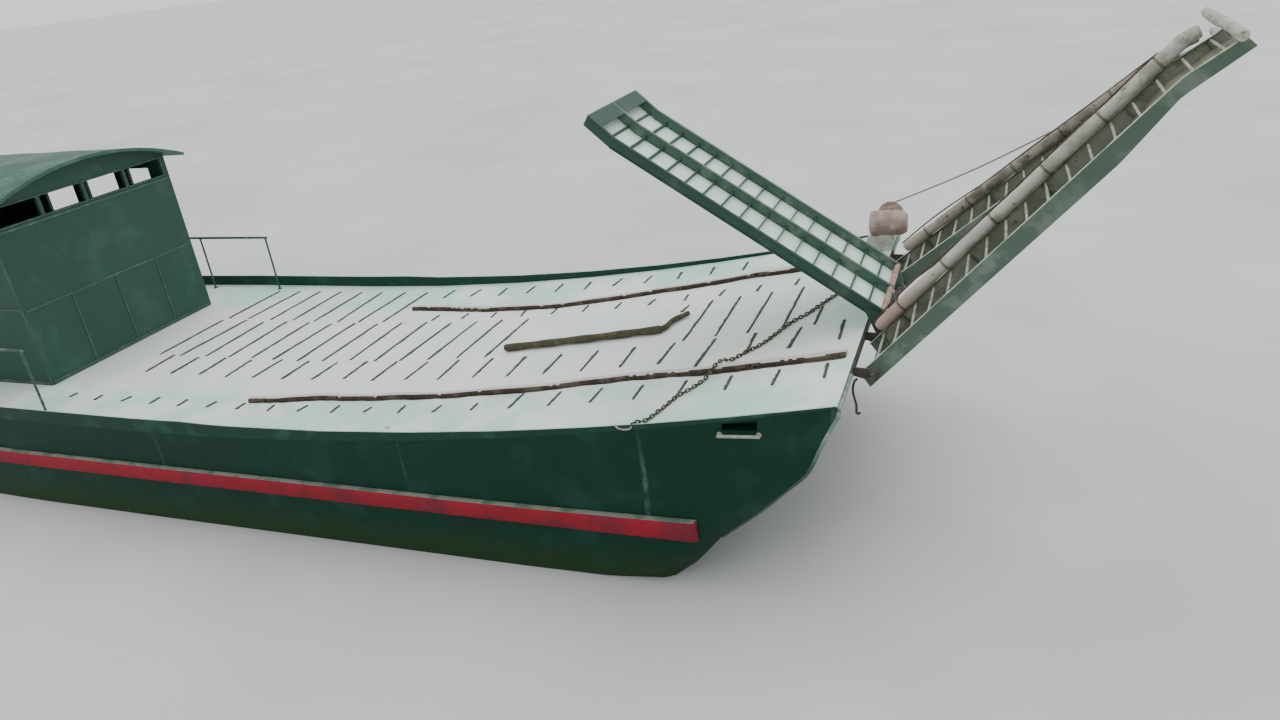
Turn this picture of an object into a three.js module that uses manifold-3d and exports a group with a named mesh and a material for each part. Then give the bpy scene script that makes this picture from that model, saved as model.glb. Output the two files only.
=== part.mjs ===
// Steel cargo boat with two raised track ramps and a folded centre ramp at the bow.
// Millimetres. X forward, Y to port, Z up. While drawing, X = 0 is the bow edge of the deck,
// Y = 0 the centreline and Z = 0 the deck amidships. The last lines move it onto its bottom.
import * as THREE from 'three';
import { mergeVertices } from 'three/addons/utils/BufferGeometryUtils.js';
import Module from 'manifold-3d';

const wasm = await Module();
wasm.setup();

// Driving dimensions
const GAP = 0.3;              // free space between resting pieces
const SHEER_START = -8400;    // the deck is level aft of here
const SHEER_RISE = 868;       // and this much higher at the bow
const KEEL = -1500;           // flat bottom
const DECK_T = 8;             // deck plate
const HINGE_X = 190;          // hinge shaft of all three ramps
const HINGE_Z = 775;
const SHAFT_R = 30;
const EYE_BORE = 31;
const RAMP_ANGLE = { starboard: 46.8, port: 38.6 }; // track ramps above level, pointing forward
const RAMP_IN = 860;          // centres of a track ramp's two side beams
const RAMP_OUT = 1520;
const BEAM_H = 160;
const BEAM_T = 40;
const RUNGS = 17;
const RUNG_PITCH = 222;
const PANEL_ANGLE = 34.6;     // centre ramp above level, leaning aft
const PANEL_HALF = 690;       // centre to outer beam
const CABIN = { front: -10900, aft: -14900, half: 1500, wall: 40, eaves: 2500, crown: 280 };
const RUDDER_X = -15750;
const SHAFT_Z = -1100;
const PROP_X = -15100;
const WINCH = { x: -70, y: 2140, z: 1150 };   // axis of the drum
const GEARBOX = { aft: -270, fore: 180, y: 1830, z: 1165, r: 155 };

// Stations: x, half beam at deck, half beam at the bottom, height of the bottom
const STATIONS = [
  [-16400, 2150, 1900, -350],
  [-15400, 2220, 1980, -620],
  [-14000, 2310, 2080, -1150],
  [-12800, 2370, 2150, KEEL],
  [-10600, 2430, 2220, KEEL],
  [-8400, 2440, 2240, KEEL],
  [-7000, 2440, 2240, KEEL],
  [-5600, 2440, 2240, KEEL],
  [-4400, 2440, 2240, KEEL],
  [-3300, 2440, 2240, KEEL],
  [-2400, 2440, 2250, -1470],
  [-1800, 2440, 2265, -1330],
  [-1450, 2440, 2280, -1030],
  [-1180, 2440, 2300, -700],
  [-790, 2440, 2330, -360],
  [-540, 2440, 2370, -100],
  [-300, 2440, 2400, 160],
  [-160, 2440, 2420, 460],
  [-60, 2440, 2425, 660],
  [0, 2440, 2430, 760],
];

function sheer(x) {
  const t = Math.max(x - SHEER_START, 0) / -SHEER_START;
  return SHEER_RISE * t * t;
}
function lerpTable(x, column) {
  for (let i = 1; i < STATIONS.length; i += 1) {
    const a = STATIONS[i - 1];
    const b = STATIONS[i];
    if (x <= b[0]) {
      const t = (x - a[0]) / (b[0] - a[0]);
      return a[column] + t * (b[column] - a[column]);
    }
  }
  return STATIONS[STATIONS.length - 1][column];
}
// deck height, straight between stations as the plates are
function deckZ(x) {
  for (let i = 1; i < STATIONS.length; i += 1) {
    const a = STATIONS[i - 1][0];
    const b = STATIONS[i][0];
    if (x <= b) {
      const t = (x - a) / (b - a);
      return sheer(a) + t * (sheer(b) - sheer(a));
    }
  }
  return SHEER_RISE;
}
function halfBeam(x) {
  return lerpTable(x, 1);
}
function stationsBetween(x0, x1) {
  const inner = STATIONS.map((s) => s[0]).filter((x) => x > x0 + 1 && x < x1 - 1);
  return [x0, ...inner, x1];
}

// Solids
function clean(geometry) {
  let g = geometry.index ? geometry.toNonIndexed() : geometry.clone();
  g.deleteAttribute('normal');
  if (g.getAttribute('uv')) g.deleteAttribute('uv');
  g = mergeVertices(g, 1e-3);
  const p = g.getAttribute('position');
  const src = g.index.array;
  const index = [];
  let volume = 0;
  const a = new THREE.Vector3();
  const b = new THREE.Vector3();
  const c = new THREE.Vector3();
  for (let i = 0; i < src.length; i += 3) {
    if (src[i] !== src[i + 1] && src[i + 1] !== src[i + 2] && src[i] !== src[i + 2]) {
      index.push(src[i], src[i + 1], src[i + 2]);
      a.fromBufferAttribute(p, src[i]);
      b.fromBufferAttribute(p, src[i + 1]);
      c.fromBufferAttribute(p, src[i + 2]);
      volume += a.dot(b.cross(c));
    }
  }
  if (volume < 0) {
    for (let i = 0; i < index.length; i += 3) {
      const t = index[i];
      index[i] = index[i + 1];
      index[i + 1] = t;
    }
  }
  g.setIndex(index);
  return g;
}
function toManifold(geometry) {
  const g = clean(geometry);
  return new wasm.Manifold(new wasm.Mesh({
    numProp: 3,
    vertProperties: new Float32Array(g.getAttribute('position').array),
    triVerts: new Uint32Array(g.index.array),
  }));
}
function fromManifold(solid) {
  const m = solid.getMesh();
  const g = new THREE.BufferGeometry();
  g.setAttribute('position', new THREE.BufferAttribute(new Float32Array(m.vertProperties), 3));
  g.setIndex(Array.from(m.triVerts));
  return clean(g);
}
function join(list, cuts = []) {
  let solid = toManifold(list[0]);
  for (const g of list.slice(1)) solid = solid.add(toManifold(g));
  for (const g of cuts) solid = solid.subtract(toManifold(g));
  return fromManifold(solid);
}
// closed skin through rings of the same number of points, ends closed by fans
function skin(rings) {
  const n = rings[0].length;
  const pos = [];
  const index = [];
  rings.forEach((ring) => ring.forEach((p) => pos.push(p[0], p[1], p[2])));
  for (let i = 0; i < rings.length - 1; i += 1) {
    for (let j = 0; j < n; j += 1) {
      const a = i * n + j;
      const b = i * n + ((j + 1) % n);
      index.push(a, b, b + n, a, b + n, a + n);
    }
  }
  const last = (rings.length - 1) * n;
  for (let j = 1; j < n - 1; j += 1) {
    index.push(0, j + 1, j);
    index.push(last, last + j, last + j + 1);
  }
  const g = new THREE.BufferGeometry();
  g.setAttribute('position', new THREE.Float32BufferAttribute(pos, 3));
  g.setIndex(index);
  return clean(g);
}
function box(x0, x1, y0, y1, z0, z1) {
  const g = new THREE.BoxGeometry(x1 - x0, y1 - y0, z1 - z0);
  g.translate((x0 + x1) / 2, (y0 + y1) / 2, (z0 + z1) / 2);
  return g;
}
// outline given in X and Z, pulled along Y
function prism(points, depth, basis, start) {
  const shape = new THREE.Shape(points.map((p) => new THREE.Vector2(p[0], p[1])));
  const g = new THREE.ExtrudeGeometry(shape, { depth, bevelEnabled: false });
  g.applyMatrix4(new THREE.Matrix4().makeBasis(...basis));
  g.translate(...start);
  return clean(g);
}
const AX = new THREE.Vector3(1, 0, 0);
const AY = new THREE.Vector3(0, 1, 0);
const AZ = new THREE.Vector3(0, 0, 1);
function plateXZ(points, y0, y1) {
  return prism(points, y1 - y0, [AX, AZ, AY], [0, y0, 0]);
}
// outline given in Y and Z, pulled along X
function plateYZ(points, x0, x1) {
  return prism(points, x1 - x0, [AY, AZ, AX], [x0, 0, 0]);
}
function rod(from, to, r, sides = 16) {
  const a = new THREE.Vector3(...from);
  const b = new THREE.Vector3(...to);
  const g = new THREE.CylinderGeometry(r, r, a.distanceTo(b), sides);
  g.applyQuaternion(new THREE.Quaternion().setFromUnitVectors(
    new THREE.Vector3(0, 1, 0), b.clone().sub(a).normalize()));
  g.translate((a.x + b.x) / 2, (a.y + b.y) / 2, (a.z + b.z) / 2);
  return g;
}
function ringPipe(x, y, z, r, pipe, axis = 'y') {
  const g = new THREE.TorusGeometry(r, pipe, 8, 20);
  if (axis === 'y') g.rotateX(Math.PI / 2);
  if (axis === 'x') g.rotateY(Math.PI / 2);
  g.translate(x, y, z);
  return g;
}
function tube(points, r, sides = 8, steps = 24) {
  const curve = new THREE.CatmullRomCurve3(points.map((p) => new THREE.Vector3(...p)));
  const shape = new THREE.Shape();
  for (let i = 0; i < sides; i += 1) {
    const a = (i / sides) * Math.PI * 2;
    if (i === 0) shape.moveTo(Math.cos(a) * r, Math.sin(a) * r);
    else shape.lineTo(Math.cos(a) * r, Math.sin(a) * r);
  }
  shape.closePath();
  return new THREE.ExtrudeGeometry(shape, { steps, extrudePath: curve, curveSegments: 1 });
}

const root = new THREE.Group();
root.name = 'steel_cargo_boat';
function node(name, geometry, color, roughness, metalness) {
  const mesh = new THREE.Mesh(clean(geometry),
    new THREE.MeshStandardMaterial({ color, roughness, metalness }));
  mesh.name = name;
  root.add(mesh);
  return mesh;
}
const HULL_GREEN = 0x0f5148;
const DECK_MINT = 0xb9d6c8;
const RAMP_GREEN = 0x3f6f5c;
const RAIL_RED = 0xd2464a;
const PIPE_PALE = 0xb9b6a4;
const RUST = 0x8a5f4c;
const STEEL = 0x6f7472;

// Hull: one decked solid, flat bottom, raked swim bow, raked stern
const hullRings = STATIONS.map(([x, hb, hbot, zb]) => {
  const top = deckZ(x) - DECK_T - GAP;
  const r = Math.min(260, 0.45 * (top - zb));
  return [
    [x, hb, top], [x, hb, zb + r], [x, hbot, zb],
    [x, -hbot, zb], [x, -hb, zb + r], [x, -hb, top],
  ];
});
// mooring pockets under the deck edge on the bow's sides, in X and Z
const POCKET = [[-1030, 572], [-700, 590], [-700, 694], [-1030, 640]];
const hullCuts = [
  plateXZ(POCKET, -2500, -2310),
  plateXZ(POCKET, 2310, 2500),
  rod([RUDDER_X, 0, -1200], [RUDDER_X, 0, 200], 36, 20),
  rod([-14900, 0, SHAFT_Z], [-13300, 0, SHAFT_Z], 55 + GAP, 20),
];
node('hull', join([skin(hullRings)], hullCuts), HULL_GREEN, 0.55, 0.1);

// Deck plate inside the coamings, with rows of half-round anti-slip rods welded across it
const COAM_T = 12;
// Rows of rods: y of both ends, x of the foremost rod, pitch, number of rods
const ROD_ROWS = [
  [-1800, -1470, -226, 478, 8],
  [-1800, -1640, -4050, 478, 14],
  [-950, -420, -226, 478, 3],
  [-1190, -420, -1660, 478, 1],
  [-950, -420, -2138, 478, 17],
  [-420, 100, -560, 400, 1],
  [-360, 860, -920, 380, 4],
  [-380, 880, -4680, 415, 14],
  [950, 2150, -7120, 415, 8],
  [980, 1190, -1040, 478, 12],
  [1900, 2200, -1940, 470, 11],
];
const deckRings = stationsBetween(-16400, 0).map((x) => {
  const b = halfBeam(x) - COAM_T - GAP;
  const z = deckZ(x);
  return [[x, b, z], [x, b, z - DECK_T], [x, -b, z - DECK_T], [x, -b, z]];
});
const rods = [];
const rodPlaces = [];
for (const [y0, y1, first, pitch, count] of ROD_ROWS) {
  for (let k = 0; k < count; k += 1) {
    const x = first - k * pitch;
    const z = deckZ(x);
    rodPlaces.push([x, y0, y1]);
    rods.push(plateXZ([[x - 11, z - 4], [x + 11, z - 4], [x + 7, z + 10], [x - 7, z + 10]], y0, y1));
  }
}
node('deck_plate', join([skin(deckRings), ...rods],
  [rod([RUDDER_X, 0, -300], [RUDDER_X, 0, 200], 36, 20)]), DECK_MINT, 0.7, 0.05);

// Coamings: 170 mm high aft, falling to 20 mm at the bow
function coaming(side) {
  const rings = stationsBetween(-16400, 0).map((x) => {
    const b = halfBeam(x);
    const h = 170 - 150 * Math.min(1, Math.max(0, (x + 7600) / 7600)) ** 0.8;
    const z = deckZ(x);
    return [
      [x, side * b, z + h], [x, side * b, z - DECK_T],
      [x, side * (b - COAM_T), z - DECK_T], [x, side * (b - COAM_T), z + h],
    ];
  });
  return skin(rings);
}
// a bent bar hangs on the outside of each, where the deck chain is made fast. Columns: from
// its middle in X, up from the deck
const STAPLE_X = -1980;
const STAPLE = [[-85, 48], [-60, 18], [0, 5], [60, 18], [85, 48]];
for (const [name, side] of [['port', 1], ['starboard', -1]]) {
  const staple = STAPLE.map(([dx, up]) => [STAPLE_X + dx, side * (halfBeam(STAPLE_X) + 6),
    deckZ(STAPLE_X) + up]);
  node(`${name}_coaming`, join([coaming(side), tube(staple, 9, 8, 16)]), HULL_GREEN, 0.55, 0.1);
}

// Red rub rails, level, 200 mm deep
const RAIL = { fore: -1360, aft: -15000, top: -460, bottom: -670, out: 75 };
function rubRail(side) {
  const rings = stationsBetween(RAIL.aft, RAIL.fore).map((x) => {
    const b = halfBeam(x) + GAP;
    return [
      [x, side * b, RAIL.top], [x, side * b, RAIL.bottom],
      [x, side * (b + RAIL.out * 0.8), RAIL.bottom + 20],
      [x, side * (b + RAIL.out), RAIL.bottom + 50],
      [x, side * (b + RAIL.out), RAIL.top - 50],
      [x, side * (b + RAIL.out * 0.8), RAIL.top - 20],
    ];
  });
  return skin(rings);
}
node('port_rub_rail', rubRail(1), RAIL_RED, 0.6, 0.05);
node('starboard_rub_rail', rubRail(-1), RAIL_RED, 0.6, 0.05);

// Track guide strips on the deck: rough bars 60 mm high, not quite straight. Columns: x, y
const STRIPS = {
  starboard: [[-7360, -1565], [-6400, -1450], [-4800, -1425], [-3360, -1350], [-2400, -1255],
    [-1500, -1300], [-80, -1325]],
  port: [[-6900, 1455], [-5360, 1290], [-4300, 1270], [-3200, 1425], [-2000, 1530], [-1640, 1590],
    [-1200, 1545], [-80, 1520]],
};
function along(table, x) {
  for (let i = 1; i < table.length; i += 1) {
    const [xa, ya] = table[i - 1];
    const [xb, yb] = table[i];
    if (x <= xb) return ya + ((x - xa) / (xb - xa)) * (yb - ya);
  }
  return table[table.length - 1][1];
}
for (const [name, table] of Object.entries(STRIPS)) {
  const ends = [table[0][0], table[table.length - 1][0]];
  const xs = [...new Set([...table.map((p) => p[0]), ...stationsBetween(...ends)])];
  const rings = xs.sort((p, q) => p - q).map((x) => {
    const y = along(table, x);
    const z = deckZ(x) + GAP;
    return [[x, y - 55, z], [x, y + 55, z], [x, y + 50, z + 42], [x, y + 28, z + 60],
      [x, y - 28, z + 60], [x, y - 50, z + 42]];
  });
  node(`${name}_guide_strip`, skin(rings), PIPE_PALE, 0.75, 0.1);
}

// Bow: sill plate with hinge lugs and the shaft all three ramps turn on
const lugs = [-1590, -775, 775, 1590].map((y) => plateXZ([
  [GAP + 1, 850], [GAP + 1, 768], [HINGE_X - 10, HINGE_Z - 60],
  [HINGE_X + 60, HINGE_Z - 40], [HINGE_X + 60, HINGE_Z + 40], [HINGE_X, HINGE_Z + 60],
], y - 8, y + 8));
node('bow_hinge_shaft', join([
  box(GAP, 16, -1700, 1700, 765, 852),
  rod([HINGE_X, -1640, HINGE_Z], [HINGE_X, 1640, HINGE_Z], SHAFT_R, 24),
  ...lugs,
]), STEEL, 0.6, 0.4);

// Ramp parts are drawn flat: U along the ramp from the shaft, V above it, then turned
function laid(g, angleDeg) {
  g.rotateY(-THREE.MathUtils.degToRad(angleDeg));
  g.translate(HINGE_X, 0, HINGE_Z);
  return g;
}
const shaftHole = () => rod([0, -2000, 0], [0, 2000, 0], EYE_BORE, 24);
// Side beam in U and V: cut heel, tapered and bent toe
const BEAM_LOW = [[-130, -80], [2650, -80], [3250, -20], [3790, -110]];
const BEAM_TOP = [[-95, 80], [3350, 80], [3790, -10]];
const beamTop = (u) => along(BEAM_TOP, u);
function trackRamp(yLow, yHigh, angle) {
  const parts = [];
  for (const y of [yLow, yHigh]) {
    parts.push(plateXZ([...BEAM_LOW, [3790, -10], [3350, 80], [-95, 80]],
      y - BEAM_T / 2, y + BEAM_T / 2));
  }
  const floor = [[120, -80], [2650, -80], [3250, -20], [3750, -103]];
  for (let i = 1; i < floor.length; i += 1) {
    const [ua, va] = floor[i - 1];
    const [ub, vb] = floor[i];
    parts.push(plateXZ([[ua, va], [ub, vb], [ub, vb + 8], [ua, va + 8]], yLow, yHigh));
  }
  for (let i = 0; i < RUNGS; i += 1) {
    const u = 90 + i * RUNG_PITCH;
    const v = beamTop(u) - 18;
    parts.push(rod([u, yLow, v], [u, yHigh, v], 15, 8));
  }
  return laid(join(parts, [shaftHole()]), angle);
}
// Pipe lying along the port beam of a track ramp, in U and V, bent down at the toe
const PIPE_R = 62;
const PIPE_PATH = [[100, 142.5], [3450, 142.5], [3580, 125], [3640, 102]];
function sidePipe(y, sides = 16) {
  const rings = PIPE_PATH.map(([u, v], i) => {
    const [ua, va] = PIPE_PATH[Math.max(i - 1, 0)];
    const [ub, vb] = PIPE_PATH[Math.min(i + 1, PIPE_PATH.length - 1)];
    const slope = Math.atan2(vb - va, ub - ua);
    return Array.from({ length: sides }, (_, k) => {
      const a = (k / sides) * Math.PI * 2;
      const n = PIPE_R * Math.sin(a);
      return [u - n * Math.sin(slope), y + PIPE_R * Math.cos(a), v + n * Math.cos(slope)];
    });
  });
  return skin(rings);
}
// Columns: side, inner ends of the beams, ends of the log across the toe
const RAMP_TABLE = [
  ['starboard', -RAMP_OUT, -RAMP_IN, -1660, -140],
  ['port', RAMP_IN, RAMP_OUT, 760, 1660],
];
for (const [name, yLow, yHigh, barLow, barHigh] of RAMP_TABLE) {
  const angle = RAMP_ANGLE[name];
  node(`${name}_ramp`, trackRamp(yLow, yHigh, angle), RAMP_GREEN, 0.6, 0.2);
  node(`${name}_ramp_side_pipe`, laid(sidePipe(yHigh), angle), PIPE_PALE, 0.8, 0.05);
  node(`${name}_ramp_tip_bar`, laid(clean(rod(
    [3775, barLow, beamTop(3775) + 49.4], [3775, barHigh, beamTop(3775) + 49.4], 48, 24)),
  angle), PIPE_PALE, 0.8, 0.05);
}

// Centre ramp: three beams under one plate, with flat bars across, folded back over the deck
// so that its plate faces down. Outline of a beam in U and V, and of a hinge arm
const PANEL_BEAM = [[120, -105], [3350, -105], [3695, -160], [3695, -280], [3350, -225],
  [120, -225]];
const PANEL_ARM = [[-55, -30], [-40, 40], [0, 60], [45, 45], [300, -110], [300, -160],
  [125, -200], [-20, -55]];
const panel = [];
for (const y of [-PANEL_HALF, 0, PANEL_HALF]) {
  panel.push(plateXZ(PANEL_BEAM, y - 20, y + 20));
  panel.push(plateXZ(PANEL_ARM, y - 18, y + 18));
}
panel.push(plateXZ([[120, -105], [3350, -105], [3350, -112], [120, -112]], -PANEL_HALF, PANEL_HALF));
panel.push(plateXZ([[3350, -105], [3695, -160], [3695, -167], [3350, -112]],
  -PANEL_HALF, PANEL_HALF));
panel.push(rod([150, -PANEL_HALF, -192], [150, PANEL_HALF, -192], 32, 12));
for (let i = 0; i < 15; i += 1) {
  const u = 310 + i * RUNG_PITCH;
  panel.push(box(u - 5, u + 5, -PANEL_HALF, PANEL_HALF, -170, -108));
}
panel.push(plateXZ([[3560, -250], [3695, -272], [3695, -280], [3560, -259]],
  -PANEL_HALF, PANEL_HALF));
node('centre_ramp', laid(join(panel, [shaftHole()]), 180 - PANEL_ANGLE), RAMP_GREEN, 0.6, 0.2);

// Winch on the port bow
function onDeck(x0, x1, y0, y1, height) {
  const rings = stationsBetween(x0, x1).map((x) => {
    const z = deckZ(x) + GAP;
    return [[x, y0, z], [x, y1, z], [x, y1, z + height], [x, y0, z + height]];
  });
  return skin(rings);
}
const cheek = [[-330, 850], [-24, 880], [WINCH.x + 60, WINCH.z + 70],
  [WINCH.x - 60, WINCH.z + 70]];
const WY = WINCH.y;
// two cheeks and, inboard of them, the round gear housing on its saddle
node('winch_frame', join([
  onDeck(-360, -10, 1690, 2390, 40),
  onDeck(-300, -20, 1750, 1910, 195),
  rod([GEARBOX.aft, GEARBOX.y, GEARBOX.z], [GEARBOX.fore, GEARBOX.y, GEARBOX.z], GEARBOX.r, 24),
  plateXZ(cheek, WY - 160, WY - 140),
  plateXZ(cheek, WY + 140, WY + 160),
], [rod([WINCH.x, WY - 200, WINCH.z], [WINCH.x, WY + 300, WINCH.z], 31, 20)]),
0x9a7f74, 0.8, 0.15);
node('winch_drum', join([
  rod([WINCH.x, WY - 180, WINCH.z], [WINCH.x, WY + 180, WINCH.z], 30, 20),
  rod([WINCH.x, WY - 125, WINCH.z], [WINCH.x, WY + 125, WINCH.z], 135, 24),
  rod([WINCH.x, WY - 127, WINCH.z], [WINCH.x, WY - 105, WINCH.z], 170, 24),
  rod([WINCH.x, WY + 105, WINCH.z], [WINCH.x, WY + 127, WINCH.z], 170, 24),
]), RUST, 0.85, 0.1);

// Hoist rope from the drum to the port beam of the port ramp
const pr = THREE.MathUtils.degToRad(RAMP_ANGLE.port);
const rampPoint = (u, v, y) => [HINGE_X + u * Math.cos(pr) - v * Math.sin(pr), y,
  HINGE_Z + u * Math.sin(pr) + v * Math.cos(pr)];
const ropeEnd = rampPoint(2380, 142.5, RAMP_OUT + PIPE_R + 9.6);
const ropeSlope = THREE.MathUtils.degToRad(25);
const ropeStart = [WINCH.x - 143.4 * Math.sin(ropeSlope), WINCH.y,
  WINCH.z + 143.4 * Math.cos(ropeSlope)];
node('hoist_rope', tube([ropeStart, [(ropeStart[0] + ropeEnd[0]) / 2,
  (ropeStart[1] + ropeEnd[1]) / 2, (ropeStart[2] + ropeEnd[2]) / 2 - 45], ropeEnd], 9, 6, 12),
0x6a6258, 0.9, 0);

// Mooring bars along the lower lips of the pockets, standing off the plate on two feet
for (const [name, side] of [['starboard', -1], ['port', 1]]) {
  const y = side * (2440 + GAP);
  node(`${name}_mooring_bar`, join([
    rod([-1070, y + side * 40, 534], [-670, y + side * 40, 556], 16, 12),
    ...[[-1050, 535.1], [-690, 554.9]].map(([x, z]) => rod([x, y, z], [x, y + side * 42, z], 12, 12)),
  ]), STEEL, 0.6, 0.4);
}

// Cabin: walls with their openings, roof, door
const C = CABIN;
const W0 = GAP;
// the front and aft walls follow the roof's arch, in straight pieces between these values of y
const ARCH_Y = [-1500, -1200, -900, -600, -300, 0, 300, 600, 900, 1200, 1500];
const arch = (y) => C.eaves + C.crown * (1 - (y / C.half) ** 2);
const archPoints = (list, up) => list.map((y) => [y, arch(y) + up]);
const endWall = [[C.half, W0], ...archPoints(ARCH_Y, 0).reverse(), [-C.half, W0]];
node('cabin_front_wall', join([plateYZ(endWall, C.front - C.wall, C.front)],
  [[-1400, -740], [-690, -25], [25, 690], [740, 1400]].map(([a, b]) => box(
    C.front - 200, C.front + 100, a, b, 2200, 2450))), HULL_GREEN, 0.55, 0.1);
const sideWindows = [[-11700, -11250], [-12700, -12000], [-13700, -13000]];
function sideWall(side) {
  const y0 = side > 0 ? C.half - C.wall : -C.half;
  return join([box(C.aft + C.wall + GAP, C.front - C.wall - GAP, y0, y0 + C.wall, W0, C.eaves)],
    sideWindows.map(([a, b]) => box(a, b, y0 - 50, y0 + 100, 1650, 2300)));
}
node('cabin_port_wall', sideWall(1), HULL_GREEN, 0.55, 0.1);
node('cabin_starboard_wall', sideWall(-1), HULL_GREEN, 0.55, 0.1);
const DOOR = { y0: -1080, y1: -340, z0: 120, z1: 2000 };
const hingeX = C.aft - 30;
node('cabin_aft_wall', join([
  plateYZ(endWall, C.aft, C.aft + C.wall),
  ...[[420, 470], [1650, 1700]].map(([a]) => box(hingeX - 10, C.aft + 10,
    DOOR.y0 - 51, DOOR.y0 - 30, a - 60, a - 35)),
  ...[[420, 470], [1650, 1700]].map(([a]) => rod([hingeX, DOOR.y0 - 40, a - 60],
    [hingeX, DOOR.y0 - 40, a + 40], 8, 12)),
], [box(C.aft - 100, C.aft + 200, DOOR.y0, DOOR.y1, DOOR.z0, DOOR.z1)]), HULL_GREEN, 0.55, 0.1);
node('cabin_door', join([
  box(hingeX - 14, hingeX + 14, DOOR.y0 - 20, DOOR.y1 + 40, DOOR.z0 + 30, DOOR.z1 + 30),
  ...[420, 1650].map((a) => rod([hingeX, DOOR.y0 - 40, a - 34], [hingeX, DOOR.y0 - 40, a + 60],
    14, 16)),
  ...[420, 1650].map((a) => box(hingeX - 8, hingeX + 8, DOOR.y0 - 40, DOOR.y0, a - 34, a + 60)),
  box(hingeX - 60, hingeX - 10, DOOR.y1 - 60, DOOR.y1 - 40, 1000, 1160),
], [
  ...[420, 1650].map((a) => rod([hingeX, DOOR.y0 - 40, a - 80], [hingeX, DOOR.y0 - 40, a + 45],
    9, 12)),
]), RAMP_GREEN, 0.6, 0.1);
const ROOF_Y = [-1680, ...ARCH_Y, 1680];
const ROOF_T = 45;
node('cabin_roof', plateYZ([...archPoints(ROOF_Y, GAP),
  ...archPoints(ROOF_Y, GAP + ROOF_T).reverse()], C.aft - 250, C.front + 250),
HULL_GREEN, 0.6, 0.1);

// Inside the cabin, seen through the windows: helm stand and engine
node('helm_stand', join([
  box(-11450, -11250, -150, 150, GAP, 1000),
  rod([-11480, 0, 1010], [-11300, 0, 950], 18, 12),
  ringPipe(-11490, 0, 1010, 260, 16, 'x'),
  box(-11500, -11480, -255, 255, 1000, 1020),
  box(-11500, -11480, -10, 10, 755, 1265),
]), 0x7b5a3c, 0.7, 0);
node('engine_block', box(-13600, -12300, -360, 360, GAP, 950), 0x55605c, 0.6, 0.3);
const onRoof = (y) => along(archPoints(ROOF_Y, 0), y) + ROOF_T + 2 * GAP;
node('exhaust_stack', join([
  rod([-14300, 900, arch(900) + 60], [-14300, 900, arch(900) + 700], 50, 20),
  plateYZ([[800, onRoof(800)], [900, onRoof(900)], [1000, onRoof(1000)],
    [1000, onRoof(900) + 22], [800, onRoof(800) + 22]], -14400, -14200),
]), RUST, 0.8, 0.2);

// Handrails beside the cabin
function handrail(side) {
  const y = side * 2250;
  const parts = [tube([[-14800, side * 2180, 900], [-12400, y, 900], [-10060, y, 900]], 20, 10, 6)];
  const posts = [];
  for (const x of [-14600, -12800, -11500, -10100]) {
    const yy = side * (2250 - Math.max(0, (-12400 - x)) * 0.029);
    posts.push(rod([x, yy, GAP], [x, yy, 900], 16, 10));
  }
  return join([...parts, ...posts]);
}
node('port_handrail', handrail(1), HULL_GREEN, 0.55, 0.2);
node('starboard_handrail', handrail(-1), HULL_GREEN, 0.55, 0.2);

// Hatch on the aft deck, port side
const HATCH = { x0: -16100, x1: -15400, y0: 700, y1: 1500 };
const HATCH_AXIS = HATCH.x0 - 50;
const hatchLugs = [812, 888, 1312, 1388].map((y) => plateXZ([
  [HATCH.x0 + 5, 60], [HATCH.x0 + 5, 108], [HATCH.x0 - 24, 116], [HATCH.x0 - 38, 145],
  [HATCH.x0 - 64, 145], [HATCH.x0 - 64, 118]], y - 4, y + 4));
node('aft_hatch_coaming', join([box(HATCH.x0, HATCH.x1, HATCH.y0, HATCH.y1, GAP, 120),
  ...hatchLugs,
  ...[850, 1350].map((y) => rod([HATCH_AXIS, y - 40, 131], [HATCH_AXIS, y + 40, 131], 8, 16))],
  [box(HATCH.x0 + 12, HATCH.x1 - 12, HATCH.y0 + 12, HATCH.y1 - 12, 20, 400)]), HULL_GREEN, 0.6, 0.1);
node('aft_hatch_lid', join([
  ...[850, 1350].map((y) => rod([HATCH_AXIS, y - 30, 131], [HATCH_AXIS, y + 30, 131], 14, 16)),
  ...[850, 1350].map((y) => box(HATCH_AXIS, HATCH.x0, y - 30, y + 30, 126, 136)),
  box(HATCH.x0 - 20, HATCH.x1 + 20, HATCH.y0 - 20, HATCH.y1 + 20, 126, 136),
  box(-15780, -15720, HATCH.y0 - 20, HATCH.y0, 136, 160),
], [850, 1350].map((y) => rod([HATCH_AXIS, y - 50, 131], [HATCH_AXIS, y + 50, 131], 8.8, 16))),
HULL_GREEN, 0.6, 0.1);

// Stern gear: stern tube, shaft strut, propeller, rudder, tiller
node('stern_tube', join([rod([-14350, 0, SHAFT_Z], [-13300 - 30, 0, SHAFT_Z], 55, 20)],
  [rod([-14900, 0, SHAFT_Z], [-13360, 0, SHAFT_Z], 25.8, 16)]), STEEL, 0.6, 0.4);
function bottomZ(x) {
  return lerpTable(x, 3) - GAP;
}
node('shaft_strut', join([
  plateXZ([[-14860, SHAFT_Z], [-14740, SHAFT_Z], [-14740, bottomZ(-14740)],
    [-14860, bottomZ(-14860)]], -15, 15),
  rod([-14880, 0, SHAFT_Z], [-14720, 0, SHAFT_Z], 50, 20),
], [rod([-15000, 0, SHAFT_Z], [-14600, 0, SHAFT_Z], 25.8, 16)]), STEEL, 0.6, 0.4);
const prop = [
  rod([-15170, 0, SHAFT_Z], [-13400, 0, SHAFT_Z], 25, 16),
  rod([-15180, 0, SHAFT_Z], [-15020, 0, SHAFT_Z], 60, 16),
];
for (let i = 0; i < 3; i += 1) {
  const blade = box(-8, 8, -85, 85, 30, 270);
  blade.rotateZ(THREE.MathUtils.degToRad(35));
  blade.rotateX(THREE.MathUtils.degToRad(i * 120));
  blade.translate(PROP_X, 0, SHAFT_Z);
  prop.push(blade);
}
node('propeller', join(prop), 0x9a7b45, 0.4, 0.8);
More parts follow.
